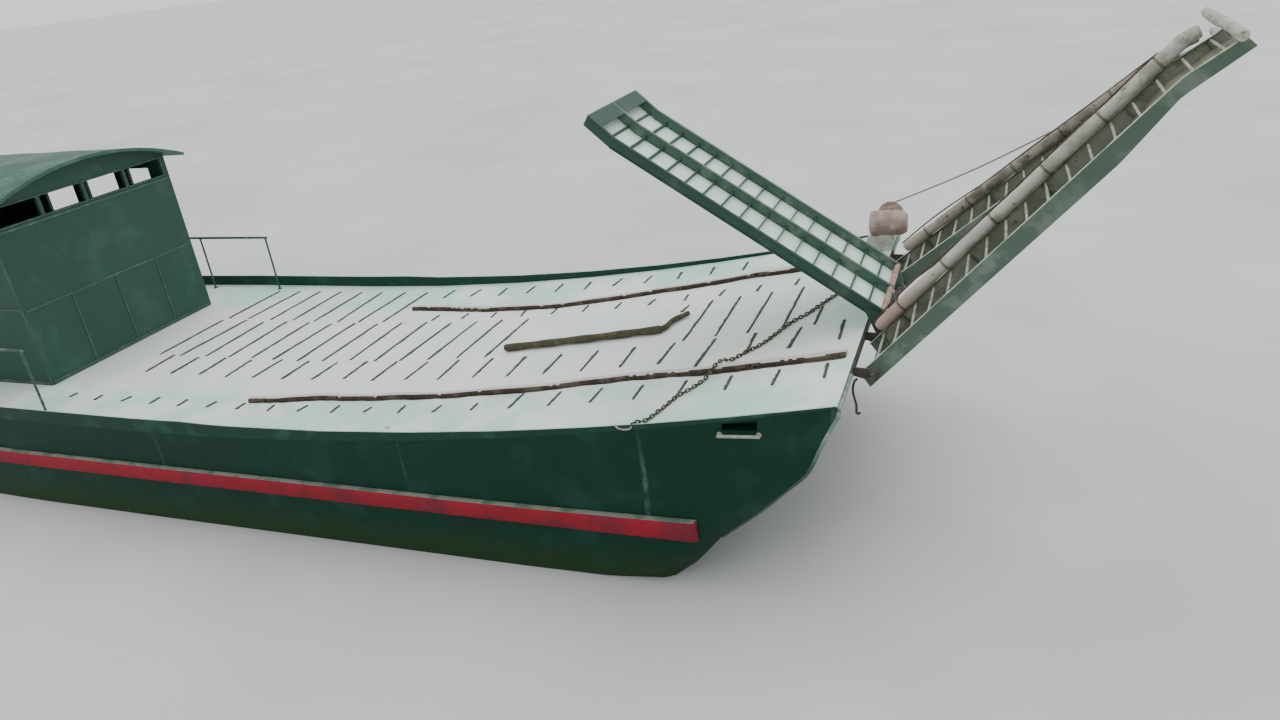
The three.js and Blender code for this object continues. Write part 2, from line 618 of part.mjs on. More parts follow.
node('rudder', join([
  rod([RUDDER_X, 0, -1380], [RUDDER_X, 0, 260], 35, 20),
  plateXZ([[RUDDER_X + 130, -1420], [RUDDER_X + 130, -680], [-16350, -680], [-16350, -1420]],
    -20, 20),
]), HULL_GREEN, 0.6, 0.2);
node('tiller', join([
  box(RUDDER_X - 60, RUDDER_X + 560, -30, 30, 170, 200),
  rod([RUDDER_X, 0, 150], [RUDDER_X, 0, 220], 60, 20),
], [rod([RUDDER_X, 0, 100], [RUDDER_X, 0, 300], 35 + GAP, 20)]), STEEL, 0.6, 0.4);

// Chain lying on the deck from the starboard gunwale's eye to the foot of the centre ramp,
// over the guide strip and the rods it crosses
const chainPath = [[-1790, -2290], [-1710, -2080], [-1640, -1850], [-1540, -1700], [-1470, -1560],
  [-1420, -1420], [-1380, -1300], [-1330, -1180], [-1220, -1020], [-1050, -800], [-930, -520],
  [-830, -280], [-680, -70], [-540, 210], [-440, 400]];
const chainPlan = new THREE.CatmullRomCurve3(chainPath.map(([x, y]) => new THREE.Vector3(x, y, 0)));
const fade = (d, full, none) => Math.min(1, Math.max(0, (none - d) / (none - full)));
const rodLift = (x, y) => Math.max(...rodPlaces.map(([xr, y0, y1]) => (
  10.4 * fade(Math.abs(x - xr), 30, 50) * fade(Math.max(y0 - y, y - y1, 0), 25, 45))));
const chainPoints = chainPlan.getSpacedPoints(70).map((p) => {
  const lift = 63.3 * fade(Math.abs(p.y - along(STRIPS.starboard, p.x)), 85, 190);
  return [p.x, p.y, Math.max(deckZ(p.x - 22), deckZ(p.x + 22)) + 12.7
    + Math.max(lift, rodLift(p.x, p.y))];
});
const foldZ = deckZ(-1893) + 50.8;
chainPoints.unshift([-1893, -2444, foldZ + 16.8], [-1876, -2420, foldZ + 19.6],
  [-1845, -2376, foldZ - 12]);
node('deck_chain', tube(chainPoints, 15, 6, 80), RUST, 0.9, 0.2);

// Wooden pole with a crooked end lying on the deck's rods
const poleLine = (list, r) => list.map(([x, y]) => [x, y, deckZ(x) - 0.5 + r]);
node('boat_pole', join([
  tube(poleLine([[-4460, -210], [-3400, -110], [-2420, -50]], 50), 50, 10, 8),
  tube(poleLine([[-2470, -60], [-2300, 90], [-2290, 380]], 42), 38, 8, 8),
]), 0x6b6140, 0.85, 0);

// Onto its bottom, centred
const whole = new THREE.Box3().setFromObject(root);
const shift = [-(whole.min.x + whole.max.x) / 2, -(whole.min.y + whole.max.y) / 2, -whole.min.z];
root.children.forEach((m) => m.geometry.translate(...shift));

export default root;
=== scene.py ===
# Steel cargo boat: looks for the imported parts, seen as in the photo.
import math
import bpy
import numpy as np
from mathutils import Matrix, Vector


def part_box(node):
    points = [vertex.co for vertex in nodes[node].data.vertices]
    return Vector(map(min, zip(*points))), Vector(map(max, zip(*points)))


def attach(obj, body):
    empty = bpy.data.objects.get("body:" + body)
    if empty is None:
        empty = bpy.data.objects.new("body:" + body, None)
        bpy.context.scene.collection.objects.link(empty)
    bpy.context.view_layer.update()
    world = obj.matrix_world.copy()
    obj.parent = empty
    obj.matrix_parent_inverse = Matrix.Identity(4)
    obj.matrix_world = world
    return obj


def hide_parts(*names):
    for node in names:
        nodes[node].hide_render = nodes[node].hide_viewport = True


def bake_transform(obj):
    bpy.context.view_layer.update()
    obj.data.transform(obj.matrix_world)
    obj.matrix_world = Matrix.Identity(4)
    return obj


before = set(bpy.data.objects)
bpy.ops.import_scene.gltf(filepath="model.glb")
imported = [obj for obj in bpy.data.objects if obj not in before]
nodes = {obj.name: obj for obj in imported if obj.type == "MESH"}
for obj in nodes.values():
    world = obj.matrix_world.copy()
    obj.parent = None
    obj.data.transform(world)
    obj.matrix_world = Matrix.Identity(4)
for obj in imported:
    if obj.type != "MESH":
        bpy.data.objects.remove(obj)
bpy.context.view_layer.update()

# Camera: the photo's viewpoint, 4.6 m above the deck off the starboard bow, a little rolled.
# Its place and its three axes come from fitting the deck's edges, rods and ramps to the photo.
BOW_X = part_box("hull")[1][0]
camera_data = bpy.data.cameras.new("camera")
camera_data.sensor_width = 36
camera_data.lens = 26.25
camera_data.clip_end = 1500
camera = bpy.data.objects.new("camera", camera_data)
bpy.context.scene.collection.objects.link(camera)
across = Vector((0.93352, 0.33908, -0.11644))
upward = Vector((-0.04077, 0.42307, 0.90518))
back = Vector((0.35619, -0.84026, 0.40877))
turn = Matrix((across, upward, back)).transposed().to_4x4()
camera.matrix_world = Matrix.Translation((BOW_X + 1.239, -9.442, 6.146)) @ turn
bpy.context.scene.camera = camera

# Deck chain: short-link chain of rusty 16 mm bar, lying from the bent bar at the gunwale over
# the guide strip and the rods to the foot of the centre ramp. One ring swept round an oval makes
# a link; every second one is turned a quarter; they follow the line of the part's cord.
# Points are in metres from the bow end of the deck, z up from the deck amidships. This takes them
# into the part's frame, which starts on the flat bottom.
SHIFT = np.array([BOW_X, 0.0, 1.5])


def tone(r, g, b):
    """An 8-bit sRGB colour as linear RGBA: c / 12.92 when dark, else ((c + 0.055) / 1.055)^2.4."""
    c = np.array([r, g, b]) / 255
    c = np.where(c <= 0.04045, c / 12.92, ((c + 0.055) / 1.055) ** 2.4)
    return (float(c[0]), float(c[1]), float(c[2]), 1.0)


def weathered(name, centre, coat, patch, stain, grain=5.0, cover=0.5, stain_at=0.62,
              streak=0.0, rough=0.55, metal=0.0, bump=0.2, bands=(), seams=0.0, shine=0.4,
              drips=()):
    """Paint coat turned to patch where a low noise is high and to stain where a fine one is.

    coat to patch: ramp of noise(grain * p); stain: noise(4 * grain * p) above stain_at;
    streak mixes in noise(p scaled by (9, 9, 0.7)), which runs down upright faces;
    bands = (axis, from, to, amount, colour) each, blended in where the noisy |axis| goes from
    from to to; seams raises beads every 2.4 m along X;
    drips = (x, half width, z of the lower end, z of the upper end, amount, colour) each.
    """
    mat = bpy.data.materials.new(name)
    mat.use_nodes = True
    tree = mat.node_tree
    n = tree.nodes
    bsdf = n["Principled BSDF"]

    def new(kind, **inputs):
        """A node with the named inputs set."""
        made = n.new(kind)
        for key, value in inputs.items():
            made.inputs[key.replace("_", " ")].default_value = value
        return made

    def link(a, b):
        """A wire from socket a to socket b."""
        tree.links.new(a, b)

    coords = new("ShaderNodeTexCoord")
    mapping = new("ShaderNodeMapping")
    mapping.inputs["Location"].default_value = tuple(-float(v) for v in centre)
    link(coords.outputs["Object"], mapping.inputs["Vector"])
    place = mapping.outputs["Vector"]

    def noise(scale, detail, where=place):
        """Fractal noise from 0 to 1 of the place times scale."""
        made = new("ShaderNodeTexNoise", Scale=scale, Detail=detail, Roughness=0.62)
        link(where, made.inputs["Vector"])
        return made.outputs["Fac"]

    def stretch(value, lo, hi):
        """0 at lo, 1 at hi and a smooth step of 3 t^2 - 2 t^3 between."""
        made = n.new("ShaderNodeMapRange")
        made.interpolation_type = "SMOOTHSTEP"
        made.inputs["From Min"].default_value = lo
        made.inputs["From Max"].default_value = hi
        link(value, made.inputs["Value"])
        return made.outputs["Result"]

    def mixed(factor, a, b):
        """Colour a (1 - factor) + b factor."""
        made = n.new("ShaderNodeMix")
        made.data_type = "RGBA"
        link(factor, made.inputs["Factor"])
        for socket, value in ((6, a), (7, b)):
            if isinstance(value, tuple):
                made.inputs[socket].default_value = value
            else:
                link(value, made.inputs[socket])
        return made.outputs[2]

    def sums(kind, a, b):
        """The named sum of a and b, each a number or a socket."""
        made = n.new("ShaderNodeMath")
        made.operation = kind
        for socket, value in ((0, a), (1, b)):
            if isinstance(value, (int, float)):
                made.inputs[socket].default_value = value
            else:
                link(value, made.inputs[socket])
        return made.outputs[0]

    broad = noise(grain, 6.0)
    fine = noise(grain * 4.3, 8.0)
    colour = mixed(stretch(broad, 0.62 - 0.3 * cover, 0.75 - 0.3 * cover), coat, patch)
    shade = noise(grain * 0.35, 3.0)
    dark = tuple(0.72 * v for v in coat[:3]) + (1.0,)
    colour = mixed(sums("MULTIPLY", stretch(shade, 0.35, 0.75), 0.45), colour, dark)
    if streak:
        scaled = n.new("ShaderNodeVectorMath")
        scaled.operation = "MULTIPLY"
        scaled.inputs[1].default_value = (9.0, 9.0, 0.7)
        link(place, scaled.inputs[0])
        runs = stretch(noise(1.0, 5.0, scaled.outputs[0]), 0.55, 0.78)
        colour = mixed(sums("MULTIPLY", runs, streak), colour, patch)
    spots = stretch(fine, stain_at, stain_at + 0.07)
    colour = mixed(spots, colour, stain)
    for axis, start, end, amount, band_colour in bands:
        split = n.new("ShaderNodeSeparateXYZ")
        link(coords.outputs["Object"], split.inputs[0])
        wavy = sums("ADD", sums("ABSOLUTE", split.outputs[axis], 0.0),
                    sums("MULTIPLY", sums("SUBTRACT", broad, 0.5), 0.35))
        colour = mixed(sums("MULTIPLY", stretch(wavy, start, end), amount), colour, band_colour)
    for x0, half, z_low, z_high, amount, run_colour in drips:
        parts = n.new("ShaderNodeSeparateXYZ")
        link(coords.outputs["Object"], parts.inputs[0])
        wobble = sums("MULTIPLY", sums("SUBTRACT", noise(6.0, 2.0), 0.5), 0.04)
        away = sums("ABSOLUTE", sums("ADD", sums("SUBTRACT", parts.outputs["X"], x0), wobble), 0.0)
        line = stretch(away, half, half * 0.2)
        ends = sums("MULTIPLY", stretch(parts.outputs["Z"], z_low, z_low + 0.3),
                    stretch(parts.outputs["Z"], z_high, z_high - 0.08))
        patchy = stretch(fine, 0.30, 0.62)
        share = sums("MULTIPLY", sums("MULTIPLY", line, ends), sums("MULTIPLY", patchy, amount))
        colour = mixed(share, colour, run_colour)
    link(colour, bsdf.inputs["Base Color"])
    tooth = sums("ADD", sums("MULTIPLY", fine, 0.25), rough - 0.1)
    link(tooth, bsdf.inputs["Roughness"])
    bsdf.inputs["Metallic"].default_value = metal
    bsdf.inputs["Specular IOR Level"].default_value = shine
    raised = sums("ADD", fine, sums("MULTIPLY", spots, 0.4))
    if seams:
        split_seam = n.new("ShaderNodeSeparateXYZ")
        link(coords.outputs["Object"], split_seam.inputs[0])
        saw = sums("PINGPONG", split_seam.outputs["X"], 1.2)
        bead = stretch(saw, 0.02, 0.0)
        raised = sums("ADD", raised, sums("MULTIPLY", bead, seams))
    relief = new("ShaderNodeBump", Strength=bump, Distance=0.01)
    link(raised, relief.inputs["Height"])
    link(relief.outputs["Normal"], bsdf.inputs["Normal"])
    return mat


def build(name, shapes, material, body, replaces=(), bevel=0.0, angle=35, facing=None):
    """One object from (vertices, faces) shapes given in metres from the bow deck edge.

    facing = (direction, least cosine, second material) for the faces that look that way;
    body is the one it rides, or None where its section blends it across a joint; edges bent
    by more than angle degrees stay sharp, and bevel rounds those over 40 degrees.
    """
    verts = []
    faces = []
    at = 0
    for v, f in shapes:
        verts.append(v)
        faces += [[i + at for i in face] for face in f]
        at += len(v)
    mesh = bpy.data.meshes.new(name)
    mesh.from_pydata((np.concatenate(verts) + SHIFT).tolist(), [], faces)
    mesh.validate()
    mesh.shade_smooth()
    mesh.set_sharp_from_angle(angle=math.radians(angle))
    mesh.materials.append(material)
    if facing:
        mesh.materials.append(facing[2])
        normals = np.zeros(len(mesh.polygons) * 3)
        mesh.polygons.foreach_get("normal", normals)
        looks = normals.reshape(-1, 3) @ (np.array(facing[0]) / np.linalg.norm(facing[0]))
        mesh.polygons.foreach_set("material_index", (looks > facing[1]).astype(np.int32))
    obj = bpy.data.objects.new(name, mesh)
    bpy.context.scene.collection.objects.link(obj)
    if bevel:
        mod = obj.modifiers.new("bevel", "BEVEL")
        mod.width = bevel
        mod.segments = 2
        mod.limit_method = "ANGLE"
        mod.angle_limit = math.radians(40)
    if body:
        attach(obj, body)
    if replaces:
        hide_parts(*replaces)
    return obj


def smooth_line(points, count):
    """A Catmull-Rom curve through points in 24 steps a span, as count equally spaced points."""
    p = np.asarray(points, float)
    p = np.vstack([2 * p[0] - p[1], p, 2 * p[-1] - p[-2]])
    out = []
    for i in range(1, len(p) - 2):
        t = np.linspace(0, 1, 24, endpoint=False)[:, None]
        a, b, c, d = p[i - 1], p[i], p[i + 1], p[i + 2]
        out.append(0.5 * (2 * b + (c - a) * t + (2 * a - 5 * b + 4 * c - d) * t ** 2
                          + (3 * b - a - 3 * c + d) * t ** 3))
    out.append(p[-2][None])
    out = np.concatenate(out)
    run = np.concatenate([[0], np.cumsum(np.linalg.norm(np.diff(out, axis=0), axis=1))])
    want = np.linspace(0, run[-1], count)
    return np.stack([np.interp(want, run, out[:, k]) for k in range(out.shape[1])], 1)


def skin(rings, loop=False):
    """Faces between rings (m, n, 3): quads q(i, j), q(i, j+1), q(i+1, j+1), q(i+1, j).

    In a loop the last ring is joined to the first, and otherwise n-gons close both ends. All
    are turned round where, on the whole, they look towards the middle.
    """
    rings = np.asarray(rings, float)
    m, k = rings.shape[:2]
    grid = np.arange(m * k).reshape(m, k)
    caps = [] if loop else [grid[0][::-1].tolist(), grid[-1].tolist()]
    if loop:
        grid = np.vstack([grid, grid[:1]])
    nxt = np.roll(grid, -1, axis=1)
    quads = np.stack([grid[:-1], nxt[:-1], nxt[1:], grid[1:]], -1).reshape(-1, 4)
    v = rings.reshape(-1, 3)
    probe = quads[:: max(1, len(quads) // 400)]
    a, b, c = v[probe[:, 0]], v[probe[:, 1]], v[probe[:, 2]]
    if (np.cross(b - a, c - a) * ((a + b + c) / 3 - v.mean(0))).sum() < 0:
        quads = quads[:, ::-1]
        caps = [f[::-1] for f in caps]
    return v, quads.tolist() + caps


def tube(line, radius, sides=12, flat=1.0, uneven=None):
    """Rings round a line: line + r (cos a sideways + flat sin a upwards), a all the way round.

    r is radius, one value or one for each ring, times uneven(ring, a) where that is given.
    """
    line = np.asarray(line, float)
    tangent = np.gradient(line, axis=0)
    tangent /= np.linalg.norm(tangent, axis=1)[:, None]
    side = np.cross(tangent, [0, 0, 1.0])
    weak = np.linalg.norm(side, axis=1) < 1e-6
    side[weak] = [0, 1.0, 0]
    side /= np.linalg.norm(side, axis=1)[:, None]
    rise = np.cross(side, tangent)
    angle = np.arange(sides) / sides * 2 * math.pi
    radius = np.broadcast_to(np.asarray(radius, float), (len(line),))
    size = radius[:, None] * np.ones(sides)
    if uneven is not None:
        size = size * uneven(np.arange(len(line))[:, None], angle[None])
    return skin(line[:, None] + size[..., None] * (np.cos(angle)[None, :, None] * side[:, None]
                + flat * np.sin(angle)[None, :, None] * rise[:, None]))


chain_mesh = nodes["deck_chain"].data
chain_points = np.zeros(len(chain_mesh.vertices) * 3)
chain_mesh.vertices.foreach_get("co", chain_points)
chain_points = chain_points.reshape(-1, 3) - SHIFT
chain_plan = smooth_line([
    (-1.893, -2.444), (-1.876, -2.42), (-1.845, -2.376), (-1.79, -2.29), (-1.71, -2.08),
    (-1.64, -1.85), (-1.54, -1.70), (-1.47, -1.56), (-1.42, -1.42), (-1.38, -1.30), (-1.33, -1.18),
    (-1.22, -1.02), (-1.05, -0.80), (-0.93, -0.52), (-0.83, -0.28), (-0.68, -0.07),
    (-0.54, 0.21), (-0.44, 0.40)], 90)
NEAR_CHAIN = 0.04
near_plan = np.linalg.norm(chain_points[None, :, :2] - chain_plan[:, None], axis=2) < NEAR_CHAIN
chain_z = np.array([chain_points[pick, 2].mean() for pick in near_plan])
chain_z = np.convolve(np.pad(chain_z, 1, mode="edge"), [0.25, 0.5, 0.25], "valid")
chain_line = np.column_stack([chain_plan, chain_z])
chain_length = float(np.linalg.norm(np.diff(chain_line, axis=0), axis=1).sum())
LINK_PITCH = 0.045
LINK_HALF_LENGTH = 0.0305
LINK_HALF_WIDTH = 0.0165
LINK_BAR_RADIUS = 0.0080
link_count = int(chain_length / LINK_PITCH)
link_spots = smooth_line(chain_line, link_count + 1)
loop_angle = np.arange(14) / 14 * 2 * math.pi
bar_angle = np.arange(6) / 6 * 2 * math.pi
links = []
for k in range(link_count):
    middle = (link_spots[k] + link_spots[k + 1]) / 2
    along_link = link_spots[k + 1] - link_spots[k]
    along_link = along_link / np.linalg.norm(along_link)
    wide = np.cross(along_link, [0, 0, 1.0])
    wide = wide / np.linalg.norm(wide)
    tall = np.cross(wide, along_link)
    tilt = math.radians(38 + 90 * (k % 2) + 14 * math.sin(k * 2.7))
    wide, tall = (math.cos(tilt) * wide + math.sin(tilt) * tall,
                  math.cos(tilt) * tall - math.sin(tilt) * wide)
    ahead = np.outer(np.cos(loop_angle), along_link)
    aside = np.outer(np.sin(loop_angle), wide)
    centre_line = middle + LINK_HALF_LENGTH * ahead + LINK_HALF_WIDTH * aside
    outward = np.cos(bar_angle)[None, :, None] * (ahead + aside)[:, None]
    rings = centre_line[:, None] + LINK_BAR_RADIUS * (outward + np.outer(np.sin(bar_angle), tall))
    links.append(skin(rings, loop=True))
chain_rust = weathered("chain_rust", (BOW_X - 1.2, -1, 2.2), tone(86, 78, 66), tone(132, 124, 108),
                       tone(48, 38, 32), grain=24, cover=0.5, stain_at=0.5, rough=0.85,
                       metal=0.1, bump=0.3, shine=0.2)
chain = build("deck_chain_links", links, chain_rust, "boat", ["deck_chain"], angle=60)

# Floor and light: a plain pale floor at the waterline, 0.25 m above the flat bottom, a wide
# soft sun from port that leaves the starboard side in shade, and an even pale sky.
WATERLINE = 0.25
FLOOR_REACH = 600
floor_mesh = bpy.data.meshes.new("floor")
floor_mesh.from_pydata([(x * FLOOR_REACH, y * FLOOR_REACH, WATERLINE)
                        for x, y in ((-1, -1), (1, -1), (1, 1), (-1, 1))], [], [(0, 1, 2, 3)])
floor = bpy.data.objects.new("floor", floor_mesh)
bpy.context.scene.collection.objects.link(floor)
floor_mat = weathered("floor_pale", (0, 0, 0), tone(206, 206, 204), tone(209, 209, 207),
                      tone(203, 203, 201), grain=0.4, stain_at=0.8, rough=0.9, bump=0.0, shine=0.1)
floor_mesh.materials.append(floor_mat)
sun_data = bpy.data.lights.new("sun", "SUN")
sun_data.energy = 1.5
sun_data.angle = math.radians(75)
sun = bpy.data.objects.new("sun", sun_data)
sun.rotation_mode = "QUATERNION"
sun.rotation_quaternion = Vector((0.12, 0.42, 1.0)).to_track_quat("Z", "Y")
bpy.context.scene.collection.objects.link(sun)
world = bpy.data.worlds.new("studio")
bpy.context.scene.world = world
world.use_nodes = True
world.node_tree.nodes["Background"].inputs["Color"].default_value = (0.93, 0.96, 1.0, 1)
world.node_tree.nodes["Background"].inputs["Strength"].default_value = 1.12

# Hull: welded steel plate, dark green gloss paint gone matt, streaked from the deck edge
# down and stained at the waterline. Rings of points along the length, from a table of sections,
# with the shallow hollows of plate between its frames, and a pocket cut out of each bow.
STATIONS = np.array([  # x, half beam at deck, half beam at the bottom, height of the bottom
    [-16.4, 2.15, 1.9, -0.35], [-15.4, 2.22, 1.98, -0.62], [-14.0, 2.31, 2.08, -1.15],
    [-12.8, 2.37, 2.15, -1.5], [-10.6, 2.43, 2.22, -1.5], [-8.4, 2.44, 2.24, -1.5],
    [-3.3, 2.44, 2.24, -1.5], [-2.4, 2.44, 2.25, -1.47], [-1.8, 2.44, 2.265, -1.33],
    [-1.45, 2.44, 2.28, -1.03], [-1.18, 2.44, 2.3, -0.7], [-0.79, 2.44, 2.33, -0.36],
    [-0.54, 2.44, 2.37, -0.1], [-0.30, 2.44, 2.4, 0.16], [-0.16, 2.44, 2.42, 0.46],
    [-0.06, 2.44, 2.425, 0.66], [0.0, 2.44, 2.43, 0.76]])
SHEER_X = np.array([-16.4, -8.4, -7.0, -5.6, -4.4, -3.3, -2.4, -1.8, -1.45, -1.18, -0.79, -0.54,
                    -0.30, -0.16, -0.06, 0.0])
SHEER_RUN = 8.4
BOW_RISE = 0.868
SHEER_Z = BOW_RISE * (np.maximum(SHEER_X + SHEER_RUN, 0) / SHEER_RUN) ** 2


def deck_height(x):
    """Straight between stations, as the plates are: bow rise ((x + run) / run)^2 at each."""
    return np.interp(x, SHEER_X, SHEER_Z)


def section(x, column):
    """One column of the table of sections at x, straight between its rows."""
    return np.interp(x, STATIONS[:, 0], STATIONS[:, column])


FRAME_PITCH = 0.6
STRINGER_PITCH = 0.55
PLATE_HOLLOW = 0.0022
SIDE_SEED = 1.0


def hollow(x, h, seed):
    """Depth of the hollow in each bay between frames along x and stringers along h.

    It is amount (sin(pi x / frame pitch) sin(pi h / stringer pitch))^2, and the amount differs
    from bay to bay, from nothing to twice PLATE_HOLLOW.
    """
    bay = np.floor(x / FRAME_PITCH) * 7.13 + np.floor(h / STRINGER_PITCH) * 3.7 + seed
    amount = PLATE_HOLLOW * (1 + np.sin(bay * 12.9898))
    return amount * (np.sin(math.pi * x / FRAME_PITCH) * np.sin(math.pi * h / STRINGER_PITCH)) ** 2


def rings_at(x, y, z):
    """Rings of points: ring i stands at x[i] and its point j at y[i, j] and z[i, j]."""
    return np.stack(np.broadcast_arrays(x[:, None], y, z), -1)


def prism(points, y0, y1):
    """An outline of (x, z) points pulled along Y from the lesser to the greater of y0 and y1."""
    y0, y1 = sorted((y0, y1))
    p = np.asarray(points, float)
    k = len(p)
    after = np.roll(p, -1, axis=0)
    if (p[:, 0] * after[:, 1] - after[:, 0] * p[:, 1]).sum() < 0:
        p = p[::-1]
    near = np.column_stack([p[:, 0], np.full(k, y0), p[:, 1]])
    far = near + [0, y1 - y0, 0]
    i = np.arange(k)
    j = np.roll(i, -1)
    walls = np.stack([j, i, i + k, j + k], 1).tolist()
    return np.vstack([near, far]), [i.tolist(), (i + k)[::-1].tolist()] + walls


def block(x0, x1, y0, y1, z0, z1):
    """A box from x0 to x1, y0 to y1 and z0 to z1, as a prism."""
    return prism([(x0, z0), (x1, z0), (x1, z1), (x0, z1)], y0, y1)


SIDE_POINTS = 22
BOTTOM_POINTS = 12
DECK_THICK = 0.008
GAP = 0.0003
hull_x = np.concatenate([np.arange(-16.4, -2.5, 0.1), np.arange(-2.5, -0.6, 0.04),
                         np.arange(-0.6, -0.01, 0.02), [0.0]])
hull_top = deck_height(hull_x) - DECK_THICK - GAP
hull_bottom = section(hull_x, 3)
chine = np.minimum(0.26, 0.45 * (hull_top - hull_bottom))
side_z = np.linspace(hull_top, hull_bottom + chine, SIDE_POINTS, axis=1)
side_edge = np.sin(np.linspace(0, math.pi, SIDE_POINTS)) ** 0.5
side_y = section(hull_x, 1)[:, None] - hollow(hull_x[:, None], side_z, SIDE_SEED) * side_edge
flare = (section(hull_x, 1) - section(hull_x, 2))[:, None]
turn_z = np.array([0.66, 0.33]) * chine[:, None] + hull_bottom[:, None]
turn_y = section(hull_x, 2)[:, None] + flare * np.array([0.72, 0.40])
bottom_y = np.linspace(section(hull_x, 2), 0, BOTTOM_POINTS, axis=1)
bottom_z = np.repeat(hull_bottom[:, None], BOTTOM_POINTS, axis=1)
half_y = np.hstack([side_y, turn_y, bottom_y])
half_z = np.hstack([side_z, turn_z, bottom_z])
port_half = rings_at(hull_x, half_y, half_z)
starboard_half = port_half[:, ::-1][:, 1:] * [1, -1, 1]
hull_rings = np.concatenate([port_half, starboard_half], axis=1)
hull_paint = weathered("hull_paint", (BOW_X - 6, 0, 1), tone(14, 53, 38), tone(24, 62, 50),
                       tone(58, 50, 38), grain=1.6, cover=0.35, stain_at=0.70, streak=0.3,
                       rough=0.5, bump=0.14, seams=1.6, shine=0.15,
                       bands=[("Z", 0.75, 0.25, 1.0, tone(34, 58, 32))],
                       drips=[(BOW_X - 1.84, 0.036, 0.95, 1.78, 0.6, tone(84, 114, 96)),
                              (BOW_X - 1.85, 0.030, 0.70, 2.05, 0.25, tone(74, 104, 88)),
                              (BOW_X - 0.03, 0.03, 1.2, 2.5, 0.5, tone(70, 100, 88)),
                              (BOW_X - 4.6, 0.025, 0.9, 1.7, 0.35, tone(70, 92, 74)),
                              (BOW_X - 8.1, 0.03, 0.8, 1.5, 0.4, tone(64, 84, 66))])
PLATE_CREASE = 28  # degrees
hull = build("hull_plating", [skin(hull_rings)], hull_paint, "boat", ["hull"], angle=PLATE_CREASE)
POCKET = [(-1.030, 0.572), (-0.700, 0.590), (-0.700, 0.694), (-1.030, 0.640)]
starboard_cut, cut_faces = prism(POCKET, -2.5, -2.312)
port_cut, _ = prism(POCKET, 2.312, 2.5)
pocket_mesh = bpy.data.meshes.new("pocket_cut")
pocket_mesh.from_pydata((np.vstack([starboard_cut, port_cut]) + SHIFT).tolist(), [],
                        cut_faces + [[i + len(starboard_cut) for i in face] for face in cut_faces])
pocket_tool = bpy.data.objects.new("pocket_cut", pocket_mesh)
bpy.context.scene.collection.objects.link(pocket_tool)
cutting = hull.modifiers.new("pockets", "BOOLEAN")
cutting.operation = "DIFFERENCE"
cutting.solver = "EXACT"
cutting.object = pocket_tool
bpy.context.view_layer.update()
seen = hull.evaluated_get(bpy.context.evaluated_depsgraph_get())
cut_hull = bpy.data.meshes.new_from_object(seen)
hull.modifiers.clear()
hull.data = cut_hull
hull.data.set_sharp_from_angle(angle=math.radians(PLATE_CREASE))
bpy.data.objects.remove(pocket_tool)

# Bow edges: half-round bars welded down both raked edges and along the deck edge outside
# the sill. Steel, once green, worn to a pale grey-green by landings.
edge_worn = weathered("edge_worn", (BOW_X, 0, 2.0), tone(112, 132, 120), tone(146, 158, 146),
                      tone(96, 78, 62), grain=7, cover=0.5, stain_at=0.62, rough=0.75, bump=0.35,
                      bands=[("Z", 2.05, 1.65, 0.85, tone(34, 64, 50))])
for name, side in (("port", 1), ("starboard", -1)):
    rake = [(0.006, side * 2.415, 0.826), (-0.004, side * 2.413, 0.76), (-0.068, side * 2.405, 0.64),
            (-0.155, side * 2.40, 0.46), (-0.290, side * 2.38, 0.17), (-0.530, side * 2.35, -0.09),
            (-0.780, side * 2.315, -0.35), (-1.165, side * 2.285, -0.69)]
    top = [(0.008, side * 2.415, 0.826), (0.010, side * 2.1, 0.826), (0.008, side * 1.715, 0.826)]
    bars = [tube(smooth_line(rake, 90), np.linspace(0.027, 0.018, 90), 14),
            tube(smooth_line(top, 24), 0.024, 14)]
    build(name + "_bow_edge_bars", bars, edge_worn, "boat", angle=50)

# Deck: welded steel plate, its paint bleached from green to a patchy mint white, with the
# same hollows, and short rusty rods welded across it so that shoes and tracks don't slip.
deck_x = np.arange(-16.4, 0.001, 0.08)
deck_x[-1] = 0.0
DECK_POINTS = 90
DECK_SEED = 4.0
COAMING_THICK = 0.012
deck_half = section(deck_x, 1) - COAMING_THICK - GAP
deck_y = np.linspace(deck_half, -deck_half, DECK_POINTS, axis=1)
deck_edge = np.sin(np.linspace(0, math.pi, DECK_POINTS)) ** 0.3 * 0.9
deck_z = deck_height(deck_x)[:, None] - hollow(deck_x[:, None], deck_y, DECK_SEED) * deck_edge
under_y = np.stack([-deck_half, deck_half], 1)
under_z = np.repeat(deck_height(deck_x)[:, None] - DECK_THICK, 2, axis=1)
deck_rings = rings_at(deck_x, np.hstack([deck_y, under_y]), np.hstack([deck_z, under_z]))
deck_paint = weathered("deck_paint", (BOW_X - 6, 0, 1.8), tone(186, 222, 204), tone(224, 232, 222),
                       tone(150, 140, 124), grain=0.9, cover=0.6, stain_at=0.68, rough=0.55,
                       bump=0.12, seams=1.2, shine=0.3,
                       bands=[("Y", 1.55, 1.25, 0.6, tone(232, 227, 220)),
                              ("Y", 0.75, 0.35, 0.3, tone(216, 220, 228))])
build("deck_plating", [skin(deck_rings)], deck_paint, "boat", ["deck_plate"], angle=PLATE_CREASE)


def dirt_and_shade_bed(x, y):
    """The height that the bands of dirt and painted shade lie at: the deck's, less 80 % of the plate's
    hollow and the gap.
    """
    return deck_height(x) - 0.8 * hollow(x, y, DECK_SEED) - GAP


